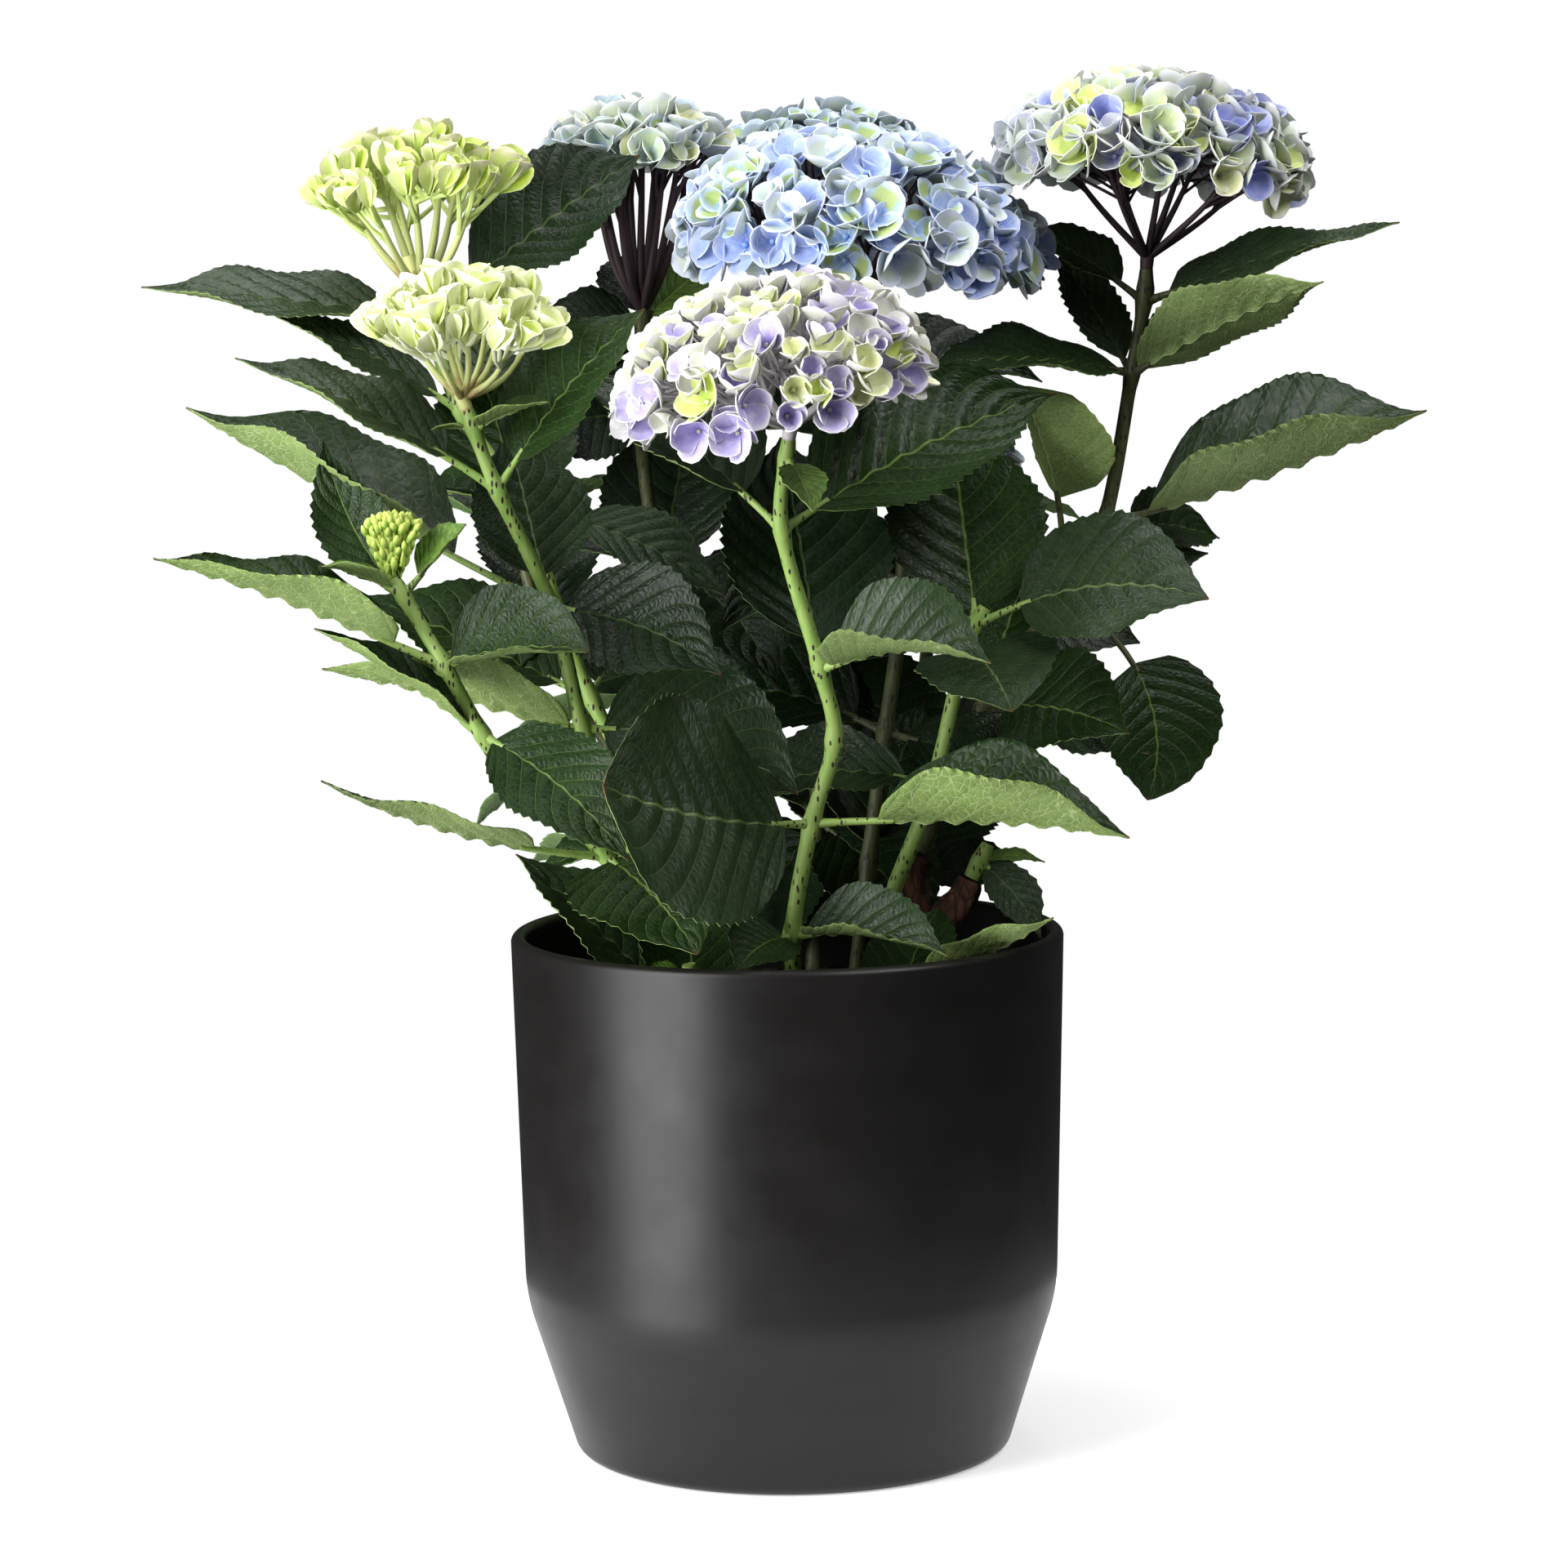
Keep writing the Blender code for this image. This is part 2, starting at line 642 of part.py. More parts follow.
def make_pot():
    lip = POT_WALL / 2
    slope = math.atan2(POT_BREAK_HEIGHT, POT_BREAK_RADIUS - POT_FOOT_RADIUS)
    outer = [(0, 0)]
    outer += arc((POT_FOOT_RADIUS - POT_FOOT_ROUND, POT_FOOT_ROUND), POT_FOOT_ROUND, -90, math.degrees(slope) - 90, 4)
    # The soft break between cone and wall.
    soft = POT_BREAK_SOFT
    outer.append((POT_BREAK_RADIUS - soft * math.cos(slope), POT_BREAK_HEIGHT - soft * math.sin(slope)))
    outer.append((POT_BREAK_RADIUS - 0.6, POT_BREAK_HEIGHT))
    rise = POT_HEIGHT - POT_BREAK_HEIGHT
    outer.append((POT_BREAK_RADIUS + (POT_RIM_RADIUS - POT_BREAK_RADIUS) * soft / rise, POT_BREAK_HEIGHT + soft))
    rim = arc((POT_RIM_RADIUS - lip, POT_HEIGHT - lip), lip, 0, 180, 5)
    inner_break = POT_BREAK_RADIUS - POT_WALL
    inner = [(inner_break, POT_BREAK_HEIGHT + soft)]
    inner.append((POT_FOOT_RADIUS - POT_WALL, POT_FLOOR))
    inner.append((0, POT_FLOOR))
    return turned("pot", outer + rim + inner, POT_SIDES, material("pot", COLOURS["pot"]))


def inner_radius(height):
    """The pot's inner radius at a height."""
    low, high = POT_FOOT_RADIUS - POT_WALL, POT_BREAK_RADIUS - POT_WALL
    knee = POT_BREAK_HEIGHT + POT_BREAK_SOFT
    if height < knee:
        return low + (high - low) * (height - POT_FLOOR) / (knee - POT_FLOOR)
    top = POT_RIM_RADIUS - POT_WALL
    return high + (top - high) * (height - knee) / (POT_HEIGHT - POT_WALL / 2 - knee)


def make_soil():
    bottom = POT_FLOOR + GAP
    knee = POT_BREAK_HEIGHT + POT_BREAK_SOFT
    profile = [(0, bottom), (inner_radius(bottom) - SOIL_CLEARANCE, bottom)]
    profile.append((inner_radius(knee) - SOIL_CLEARANCE, knee))
    profile.append((inner_radius(SOIL_LEVEL) - SOIL_CLEARANCE, SOIL_LEVEL))
    profile.append((0.6 * POT_RIM_RADIUS, SOIL_TOP))
    profile.append((0, SOIL_TOP))
    return turned("soil", profile, POT_SIDES, material("soil", COLOURS["soil"]))


def make_wood():
    """The old forked wood at the right, flat where it stands on the soil."""
    foot, fork = Vector(WOOD_FOOT), Vector(WOOD_FORK)
    solids = [tube([foot, foot.lerp(fork, 0.35), fork], [WOOD_FLARE, WOOD_RADIUS, WOOD_RADIUS], 10, True)]
    start = foot.lerp(fork, 0.6)
    for name, radius in WOOD_ARMS.items():
        end, after = (Vector(node) for node in SHOOTS[name][0][:2])
        middle = end - (after - end).normalized() * (0.22 * (end - start).length)
        solids.append(tube([start, middle, end], [WOOD_RADIUS * 0.8, radius * 1.1, radius], 8))
    return fused("old_wood", solids, material("wood", COLOURS["wood"]))


def make_bud(top, heading, finish):
    """A closed head of buds: a knobbly egg on a short foot."""
    foot = top + heading * GAP
    work = bmesh.new()
    bmesh.ops.create_icosphere(work, subdivisions=3, radius=1)
    points = []
    for vert in work.verts:
        turn = math.atan2(vert.co.y, vert.co.x)
        knob = 1 + 0.09 * math.sin(7 * turn) * math.sin(9 * vert.co.z)
        width = BUD_RADIUS * (0.85 + 0.25 * vert.co.z) * knob
        height = BUD_HEIGHT / 2 * (1 + vert.co.z * knob)
        points.append(foot + Vector((vert.co.x * width, vert.co.y * width, BUD_FOOT + height)))
    faces = [tuple(vert.index for vert in face.verts) for face in work.faces]
    work.free()
    stub = tube([foot, foot + heading * 10], [STEM_TIP_RADIUS - GAP, STEM_TIP_RADIUS])
    return fused("bud_head", [(points, faces), stub], finish)


def tree_of(points, faces):
    return BVHTree.FromPolygons([Vector(point) for point in points], faces)


def shoot_ways():
    """Each shoot's smooth way, from just above what it stands on."""
    ways = {}
    for name, (nodes, _) in SHOOTS.items():
        nodes = [Vector(node) for node in nodes]
        if name in WOOD_ARMS:
            nodes[0] = nodes[0] + (nodes[1] - nodes[0]).normalized() * 2 * GAP
        else:
            nodes[0].z = SOIL_TOP + GAP
        ways[name] = smooth_way(nodes)
    return ways


def stem_radii(way):
    length = way_length(way)
    radii, done = [], 0.0
    for index, point in enumerate(way):
        if index:
            done += (point - way[index - 1]).length
        radii.append(STEM_RADIUS + (STEM_TIP_RADIUS - STEM_RADIUS) * done / length)
    return radii


def leaf_root(nodes, number):
    """Where a node's leaves grow from."""
    root = Vector(nodes[number])
    if number == len(nodes) - 1:
        root += (Vector(nodes[number - 1]) - root).normalized() * TOP_PAIR_DROP
    return root


def place_leaves(stems, obstacles):
    """Each leaf in turn, turned or lifted where something is in its way, and left out where nothing helps."""
    placed = {name: [] for name in SHOOTS}
    for name, (nodes, leaves) in SHOOTS.items():
        for number, specs in leaves.items():
            root = leaf_root(nodes, number)
            for spec in specs:
                for turn, lift in GIVE_WAY:
                    tried = dict(spec, side=spec["side"] + turn, rise=spec["rise"] + lift)
                    tree = tree_of(*leaf_solid(root, tried, LEAF_ROOM, NODE_FREE))
                    if any(tree.overlap(other) for other in obstacles):
                        continue
                    away = min(STEM_FREE, spec["stalk"] + 0.3 * spec["blade"])
                    outer = tree_of(*leaf_solid(root, tried, LEAF_ROOM, away))
                    if any(outer.overlap(stem) for other, stem in stems.items() if other == name):
                        continue
                    if any(tree.overlap(stem) for other, stem in stems.items() if other != name):
                        continue
                    placed[name].append((root, tried))
                    obstacles.append(tree)
                    break
    return placed


def clear_florets(blooms, obstacles):
    """The florets of each bloom that touch neither a leaf nor a neighbouring bloom."""
    trees = {name: [tree_of(*solid) for solid in body] for name, (body, _) in blooms.items()}
    kept = {}
    for name, (body, florets) in blooms.items():
        others = [tree for other, found in trees.items() if other != name for tree in found]
        kept[name] = list(body)
        for floret in florets:
            tree = tree_of(*floret)
            if not any(tree.overlap(other) for other in obstacles + others):
                kept[name].append(floret)
                trees[name].append(tree)
    return kept


def build():
    for old in list(bpy.data.objects):
        bpy.data.objects.remove(old)
    pot = make_pot()
    soil = make_soil()
    wood = make_wood()
    ways = shoot_ways()
    way = ways["bud"]
    bud = make_bud(way[-1], (way[-1] - way[-2]).normalized(), material("bud", COLOURS["bud"]))
    obstacles = []
    for made in (pot, soil, wood, bud):
        corners = [vert.co / MM for vert in made.data.vertices]
        obstacles.append(tree_of(corners, [tuple(face.vertices) for face in made.data.polygons]))
    blooms = {}
    for name in BLOOMS:
        way = ways[name]
        blooms[name] = bloom_solids(name, way[-1], (way[-1] - way[-2]).normalized())
        obstacles += [tree_of(*solid) for solid in blooms[name][0]]
    stems = {name: tree_of(*tube(way, stem_radii(way))) for name, way in ways.items()}
    placed = place_leaves(stems, obstacles)
    grown = [leaf_solid(root, spec, LEAF_ROOM) for found in placed.values() for root, spec in found]
    blooms = clear_florets(blooms, [tree_of(*solid) for solid in grown])

    stem_finish = material("stem", COLOURS["stem"])
    foliage_finish = material("foliage", COLOURS["foliage"])
    for name, (nodes, wanted) in SHOOTS.items():
        way = ways[name]
        number = min(wanted)
        first = Vector(nodes[number])
        lowered = (first - leaf_root(nodes, number)).length
        nearest = min(range(len(way)), key=lambda index: (way[index] - first).length)
        cut = way_length(way[: nearest + 1]) - FIRST_PAIR_DROP - lowered
        length = way_length(way)
        upper = way
        if cut > 2 * FIRST_PAIR_DROP:
            lower = cut_way(way, 0.0, cut)
            upper = cut_way(way, cut + GAP, length)
            rooted = name not in WOOD_ARMS
            mesh_object("stem_" + name, *tube(lower, stem_radii(lower), level=rooted), stem_finish)
        solids = [tube(upper, stem_radii(upper), level=upper is way and name not in WOOD_ARMS)]
        solids += [leaf_solid(root, spec) for root, spec in placed[name]]
        fused("foliage_" + name, solids, foliage_finish)
        if name in blooms:
            fused("bloom_" + name, blooms[name], material("bloom_" + name, COLOURS[name]))
    return placed


build()
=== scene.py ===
"""The potted hydrangea's looks, built round its CAD frame.

The shoots, leaves and flower heads grow by the same rule as the CAD part's, from the same named
sizes, and finer: serrated quilted leaves, four-sepalled florets, marked stems and rough bark.
Lengths are in millimetres and turn to metres as a mesh is made; angles are in degrees. A side of 0
points to +X, 90 to +Y, and -Y is the plant's front.
"""

import math

import bpy
import numpy as np
from mathutils import Matrix, Vector, noise
from mathutils.bvhtree import BVHTree


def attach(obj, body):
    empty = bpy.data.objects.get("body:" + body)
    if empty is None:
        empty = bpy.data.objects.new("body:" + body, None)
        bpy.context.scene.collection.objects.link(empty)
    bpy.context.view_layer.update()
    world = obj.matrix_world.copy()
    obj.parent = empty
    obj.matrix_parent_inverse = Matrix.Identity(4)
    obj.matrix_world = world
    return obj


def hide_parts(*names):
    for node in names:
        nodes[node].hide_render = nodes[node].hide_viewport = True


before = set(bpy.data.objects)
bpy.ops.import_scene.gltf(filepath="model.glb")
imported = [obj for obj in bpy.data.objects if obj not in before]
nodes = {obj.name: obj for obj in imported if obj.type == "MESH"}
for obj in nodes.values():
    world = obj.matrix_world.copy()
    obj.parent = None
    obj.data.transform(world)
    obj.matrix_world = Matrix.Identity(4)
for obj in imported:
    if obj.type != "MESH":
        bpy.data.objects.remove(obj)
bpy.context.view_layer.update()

MM = 0.001
GAP = 0.3  # clearance between pieces that touch

# The pot: a cone below, a nearly straight wall above, and a rolled rim.
POT_HEIGHT = 209.0
POT_RIM_RADIUS = 110.0
POT_BREAK_RADIUS = 106.5
POT_BREAK_HEIGHT = 64.5
POT_FOOT_RADIUS = 88.0
POT_WALL = 6.0
POT_FLOOR = 9.0
POT_BREAK_SOFT = 9.0  # how far the soft break reaches on each side
POT_FOOT_ROUND = 6.0
POT_SIDES = 144

# The soil inside the pot.
SOIL_LEVEL = 177.0
SOIL_TOP = SOIL_LEVEL + 1.2
SOIL_EDGE = 2 * GAP  # clearance to the pot's wall
SOIL_SIDES, SOIL_ROWS = 120, 34
CRUMBS = 1500

# Stems, stalks and leaves.
STEM_RADIUS = 3.3
STEM_TIP_RADIUS = 2.6
STALK_RADIUS = 1.7
NODE_SWELL = 0.9
NODE_REACH = 4.5  # how far a node's swelling reaches along its stem
LEAF_THICKNESS = 1.6
LEAF_STATIONS = (0.12, 0.3, 0.5, 0.72, 0.9)
LEAF_ROOM = 0.9  # room that a leaf keeps to everything round it
LONG_STALK = 12.0  # a longer one has one more ring
SPINE_STEPS = 40
DROOP_POWER = 1.2  # how late along a leaf its bend down comes
NODE_FREE = 9.0  # stretch of a leaf that may lie beside the others of its node
STEM_FREE = 16.0  # stretch of a leaf that may lie beside its own stem
TOP_PAIR_DROP = 7.5  # leaves at a stem's very top grow from this far below it, clear of the bloom

# What a leaf tries, in this order, where another leaf, stem or bloom is in its way: turn and lift.
GIVE_WAY = [(0, 0), (0, 7), (0, -7), (9, 0), (-9, 0), (9, 9), (-9, 9), (9, -9), (-9, -9)]
GIVE_WAY += [(0, 15), (0, -15), (18, 0), (-18, 0), (18, 12), (-18, 12), (18, -12), (-18, -12)]
GIVE_WAY += [(0, 26), (0, -26), (30, 8), (-30, 8), (30, -14), (-30, -14)]

GOLDEN_ANGLE = math.radians(137.508)


def leaf(side, rise, stalk, blade, wide=0.64, droop=25, roll=0, fold=20, /, **fine):
    """A leaf: where it points, how it rises, its two lengths, its width as a share of the blade, and
    how it bends down, rolls and folds. Named extras are what its finer form adds to these."""
    keys = ("side", "rise", "stalk", "blade", "wide", "droop", "roll", "fold", "fine")
    return dict(zip(keys, (side, rise, stalk, blade, wide, droop, roll, fold, fine)))


def pair(side, blade, rise=28, face=0, fine=None):
    """Two opposite leaves. With face, each rolls its upper side towards the front."""
    leaves = []
    for turn, longer in ((0, 0), (180, 4)):
        roll = face * math.cos(math.radians(side + turn))
        leaves.append(leaf(side + turn, rise, 14, blade + longer, 0.66, 52, roll, **(fine or {})))
    return leaves


# Every shoot's nodes from the soil up.
NODES = {
    "lilac": [
        (4, -36, 180), (2, -46, 213), (10, -56, 258), (19, -62, 291),
        (14, -68, 319), (0, -80, 373), (3, -90, 408),
    ],
    "bud": [
        (-38, -42, 180), (-69, -62, 247), (-100, -70, 270),
        (-115, -74, 296), (-129, -76, 323), (-148, -72, 356),
    ],
    "lime_front": [
        (-40, -8, 180), (-62, -26, 250), (-78, -40, 294),
        (-89, -46, 342), (-109, -52, 388), (-120, -54, 419),
    ],
    "violet": [
        (54, 20, 236), (80, 20, 295), (112, 28, 338), (129, 30, 367),
        (141, 34, 427), (146, 36, 455), (147, 36, 468),
    ],
    "right_leafy": [(42, -8, 224), (58, -19, 268), (71, -22, 322), (79, -22, 338)],
    "lime_back": [
        (-22, 16, 180), (-44, 24, 240), (-78, 30, 300), (-104, 30, 375),
        (-128, 34, 415), (-141, 37, 452), (-146, 38, 470),
    ],
    "blue": [(26, 2, 180), (33, 5, 235), (40, 8, 286), (48, 14, 345), (44, 20, 397), (34, 25, 458)],
    "pale": [(-14, 28, 180), (-38, 55, 298), (-50, 66, 345), (-58, 84, 410), (-56, 98, 456)],
    "grey_blue": [
        (10, 36, 180), (13, 62, 245), (13, 80, 300),
        (16, 106, 368), (18, 122, 413), (20, 134, 468),
    ],
    "rear_left": [(-20, 50, 180), (-38, 68, 214), (-68, 100, 262), (-100, 124, 318), (-112, 132, 360)],
    "rear_right": [(34, 46, 180), (43, 66, 216), (54, 96, 266), (62, 130, 322), (64, 146, 362)],
    "low_right": [(40, -44, 180), (46, -50, 198)],
    "low_left": [(-34, -66, 180), (-38, -70, 206)],
    "stub": [(74, 14, 226), (81, 14, 240)],
}
# The leaves at each node, by its number. A leaf given the dark tone is painted in shade, and one
# given the grey tone has a painted sheen.
LEAVES = {
    "lilac": {
        1: [leaf(324, 12, 6, 68, 0.6, 30, 25, 40), leaf(236, 6, 6, 34, 0.9, 40, -30, 15, tone="mid")],
        2: [
            leaf(218, 4, 14, 88, 1.1, -20, -64, 6, peak=1.4, tone="grey"),
            leaf(345, 9, 27, 98, 0.7, 18, 8, 48, rise=-3, droop=-2),
        ],
        4: [leaf(318, 20, 6, 80, 0.74, 34, 28, 44), leaf(105, 60, 12, 90, 0.8, 5, 0, 15, tone="dark")],
        5: [
            leaf(150, 46, 22, 84, 0.66, 20, -18, 20, rise=-4, wide=0.14, tone="grey"),
            leaf(27, 34, 16, 114, 0.62, 12, 42, 24, rise=-4, droop=6),
        ],
        6: [leaf(290, -21, 6, 28, 0.7, 30, 0, 15)],
    },
    "bud": {
        1: [
            leaf(
                208, 12, 32, 92, 0.5, -10, 10, 40,
                wide=-0.23, fold=-16, roll=-2, rise=-3, droop=-9, peak=0.75,
            ),
            leaf(306, -16, 4, 64, 1.05, 25, 20, 8, peak=0.8, wide=-0.08),
        ],
        3: [leaf(325, -27, 6, 76, 0.62, 28, 36, 12), leaf(178, 40, 6, 70, 0.5, 15, -6, 20)],
        4: [
            leaf(200, 27, 22, 98, 0.52, 14, -8, 34, droop=-3, peak=0.75),
            leaf(345, 21, 3, 56, 0.95, 34, 32, 34, tone="mid"),
        ],
        5: [
            leaf(145, 31, 9, 60, 0.6, -44, -40, 18, wide=-0.14, side=-12, blade=8),
            leaf(350, 52, 10, 27, 0.95, 10, 30, 20), leaf(184, 26, 6, 28, 0.6, 30, 0, 30),
        ],
    },
    "lime_front": {
        2: [leaf(188, 14, 6, 98, 0.5, 5, 22, 36, rise=-4, roll=-8), leaf(342, 4, 8, 82, 0.8, 45, 55, 14)],
        3: [
            leaf(160, 31, 46, 124, 0.5, 10, -6, 36, droop=-11, wide=0.03, rise=-5, blade=3),
            leaf(333, -2, 6, 72, 0.72, 35, 52, 14, tone="dark"), leaf(122, 62, 14, 60, 0.85, -5, -12, 14),
        ],
        4: [
            leaf(186, 37, 24, 88, 0.6, 28, -20, 12, droop=-8, wide=0.02, peak=0.7),
            leaf(3, 52, 14, 76, 0.74, 20, 38, 16),
        ],
        5: [
            leaf(331, 18, 3, 26, 0.55, 20, 10, 15, blade=7, wide=0.3, rise=8, tone="mid"),
            leaf(170, 12, 3, 14, 0.6, 30, 0, 15),
        ],
    },
    "violet": {
        1: [leaf(310, 8, 14, 70, 0.74, 25, 48, 16), leaf(80, 28, 14, 80, 0.66, 55, 0, 20)],
        2: [
            leaf(
                326, -12, 20, 76, 0.82, 100, 42, 10,
                rise=-15, droop=-14, blade=-19, stalk=21, side=9, wide=0.18,
            ),
            leaf(215, 96, 40, 50, 1.05, 45, 0, 26, wide=0.12),
        ],
        3: [
            leaf(
                340, 10, 26, 113, 0.74, -20, 22, 46,
                rise=5, droop=11, stalk=-6, blade=6, peak=1.15, wide=-0.08,
            ),
            leaf(41, 7, 16, 56, 0.66, 20, 45, 14, rise=-6, blade=-4),
        ],
        4: [
            leaf(325, 26, 4, 84, 0.6, 12, -28, 14, rise=2, wide=-0.08, blade=6, peak=1.1),
            leaf(208, 23, 6, 88, 0.5, 22, -5, 10, wide=0.1, roll=-14, rise=-10),
            leaf(129, 37, 8, 60, 0.62, 0, -25, 16, wide=-0.2, rise=3, side=-2),
            leaf(33, 34, 10, 62, 0.6, 10, 30, 16, blade=-16),
        ],
        5: [
            leaf(341, 19, 18, 90, 0.52, 10, 22, 8, stalk=-7, blade=7, peak=0.62, rise=2),
            leaf(146, 40, 14, 52, 0.6, 25, -25, 20, wide=-0.06, rise=-2),
        ],
    },
    "right_leafy": {
        1: [leaf(200, 20, 12, 70, 0.66, 50, -30, 18)],
        2: [leaf(285, -2, 6, 58, 1.0, 34, 12, 8)],
        3: [
            leaf(338, 17, 20, 72, 0.68, 30, 50, 14, rise=11, droop=16, wide=0.14, blade=6),
            leaf(105, 66, 6, 84, 0.66, -5, -8, 14, wide=0.14, tone="mid"),
        ],
    },
    "lime_back": {
        1: [leaf(185, 4, 9, 60, 0.6, 30, -20, 20, blade=-10)],
        2: [
            leaf(172, 34, 14, 72, 0.6, 5, -30, 16, blade=16, rise=-8, wide=0.1),
            leaf(70, 30, 14, 84, 0.66, 45, 10, 20),
        ],
        3: [leaf(350, -7, 24, 66, 0.5, 34, 44, 14), leaf(130, 30, 14, 86, 0.66, 50, -10, 20, rise=-12)],
        4: [
            leaf(198, 32, 12, 84, 0.5, 20, -14, 10, blade=-12, rise=5, wide=-0.07, roll=-26, tone="grey"),
            leaf(75, 32, 12, 78, 0.64, 45, 10, 20),
        ],
        5: [
            leaf(186, 15, 8, 106, 0.5, 20, -12, 8, rise=-5, droop=-14, roll=-6, wide=0.05),
            leaf(8, 47, 24, 84, 0.68, 8, 42, 14, peak=1.25, wide=0.1, tone="dark"),
        ],
    },
    "blue": {
        1: [leaf(70, 18, 12, 84, 0.66, 40, 10, 20)],
        2: [leaf(325, 3, 10, 66, 0.6, 22, 45, 15), leaf(150, 28, 14, 92, 0.66, 50, -40, 20)],
        3: pair(240, 88, face=45),
        4: [leaf(302, 8, 12, 62, 0.7, 40, 40, 16), leaf(150, 28, 14, 84, 0.66, 50, -30, 20)],
    },
    "pale": {
        1: [leaf(325, 14, 14, 76, 0.66, 45, 40, 15), leaf(150, 26, 14, 92, 0.66, 50, -10, 20)],
        2: pair(120, 88, face=40),
        3: [
            leaf(205, 25, 4, 42, 0.8, 40, -30, 16, rise=-18, roll=-30, wide=0.15, blade=8),
            leaf(340, 18, 8, 66, 0.7, 40, 30, 16),
        ],
    },
    "grey_blue": {
        1: [leaf(110, 20, 12, 84, 0.66, 45, 0, 20)],
        2: pair(20, 92, face=30),
        3: pair(100, 90, face=30),
        4: pair(10, 84, face=30),
    },
    "rear_left": {
        1: [leaf(30, 22, 12, 78, 0.7, 45, 20, 16), leaf(140, 26, 12, 84, 0.66, 50, 0, 20)],
        2: pair(170, 90, fine=dict(blade=-32)),
        3: pair(80, 88),
        4: pair(160, 70, rise=45, fine=dict(blade=-28)),
    },
    "rear_right": {
        1: [leaf(350, 24, 12, 82, 0.7, 50, 30, 16, blade=-34), leaf(100, 24, 12, 84, 0.66, 50, 0, 20)],
        2: pair(20, 92),
        3: pair(100, 90),
        4: pair(20, 84, fine=dict(blade=-26)),
    },
    "low_right": {1: [leaf(339, 22, 8, 62, 0.5, -10, -10, 30)]},
    "low_left": {1: [leaf(205, 24, 3, 18, 0.9, 30, -30, 12)]},
    "stub": {
        1: [
            leaf(338, -24, 3, 36, 0.5, 30, 45, 10, rise=-12, blade=1, wide=0.1, tone="grey"),
            leaf(20, 2, 3, 26, 0.36, 40, 30, 10, rise=12),
        ],
    },
}
# Leaves that only show as dark depth between the others.
INNER_LEAVES = {
    "pale": {
        1: [leaf(60, 52, 12, 78, 0.7, 20, 10, 15)],
        2: [leaf(75, 64, 8, 74, 0.85, 10, 0, 14)],
        4: [
            leaf(190, 5, 4, 40, 0.8, 10, -45, 12), leaf(20, 40, 4, 36, 0.8, 5, 40, 12),
            leaf(88, 52, 6, 46, 0.9, 0, 0, 10),
        ],
    },
    "rear_left": {3: [leaf(80, 50, 10, 84, 0.66, 20, 0, 15)]},
    "violet": {
        1: [leaf(76, 42, 10, 74, 0.7, 20, 10, 14), leaf(350, -2, 12, 58, 0.8, 30, 40, 14)],
        2: [leaf(14, 28, 12, 52, 0.66, 15, 40, 12)],
    },
    "blue": {
        1: [leaf(40, 50, 10, 66, 0.7, 20, 20, 14)],
        3: [leaf(143, 30, 8, 76, 0.7, 10, 0, 14), leaf(84, 25, 8, 66, 0.7, 15, 0, 14)],
    },
    "rear_right": {
        1: [leaf(66, 26, 10, 80, 0.68, 20, 20, 15), leaf(150, 40, 8, 60, 0.7, 20, 0, 15)],
        3: [leaf(352, 2, 34, 56, 0.8, 20, 40, 12)],
    },
    "grey_blue": {
        1: [leaf(204, -35, 8, 66, 0.9, 15, -30, 12), leaf(322, -36, 8, 62, 0.9, 10, 30, 12)],
        2: [leaf(121, 36, 14, 94, 0.7, 20, 0, 15), leaf(350, -20, 6, 62, 0.85, 10, 50, 12)],
        4: [leaf(150, 30, 8, 74, 0.8, 5, 0, 12)],
    },
    "lime_back": {3: [leaf(100, 56, 8, 74, 0.85, 10, 0, 12)]},
    "bud": {0: [leaf(156, 34, 12, 82, 0.6, 5, -30, 20)]},
    "low_right": {0: [leaf(80, 50, 6, 52, 0.8, 20, 0, 15)]},
    "low_left": {0: [leaf(110, 46, 8, 58, 0.8, 20, 0, 15)]},
}
# Every bloom: radius, height of its dome, height of its top above the stem, how far round its florets
# reach, their radius, and the side and angle it leans to.
BLOOMS = {
    "lilac": dict(radius=53, dome=34, top=56, reach=108, floret=12, lean=(215, 11)),
    "lime_front": dict(radius=37, dome=18, top=50, reach=96, floret=10.5, lean=(0, 0)),
    "violet": dict(radius=63, dome=36, top=80, reach=106, floret=13.5, lean=(0, 3)),
    "lime_back": dict(radius=43, dome=17, top=54, reach=96, floret=11, lean=(0, 0)),
    "blue": dict(radius=70, dome=40, top=64, reach=108, floret=14, lean=(180, 3)),
    "pale": dict(radius=35, dome=20, top=80, reach=94, floret=11.5, lean=(0, 0)),
    "grey_blue": dict(radius=41, dome=25, top=68, reach=98, floret=12.5, lean=(0, 0)),
    "rear_right": dict(radius=37, dome=23, top=48, reach=100, floret=11.5, lean=(60, 12)),
}
RAYS = 7
RAY_RADIUS = 1.1
RAY_START = 4.0
RAY_BOW = 0.06  # how far a ray bows up, as a share of the bloom's height
RAY_INSIDE = 14  # how far inside the bloom's edge the rays end, in degrees
BLOOM_FOOT = 7.0
CORE_SIDES = 10
CORE_ROWS = (0.3, 0.62, 0.88, 1.0)  # rings of the core, as shares of its reach
CORE_INSIDE = 6
CORE_INSET = 0.3  # how far the core lies under its florets, as a share of their radius
CORE_DEPTH = 9.0
FLORET_ROOT = 7.0
FLORET_CUP = 0.3  # how far the sepals' tips stand up, as a share of their length

# The flower bud on the shoot at the front left: a closed head of small green buds.
BUD_RADIUS = 13.0
BUD_HEIGHT = 28.0
BUD_COUNT = 120
BUD_CROWN = 0.55  # share of the buds that lie on its top

# The old wood that the right-hand shoots rise from: a stump with two arms and a cut stub.
WOOD_FOOT = (50, 14, SOIL_TOP + GAP)
WOOD_FORK = (48, 12, 204)
WOOD_ARMS = {"violet": 7.0, "right_leafy": 6.0, "stub": 5.5}  # radius of the arm under each shoot
WOOD_RADIUS = 9.5
WOOD_FLARE = 13.0

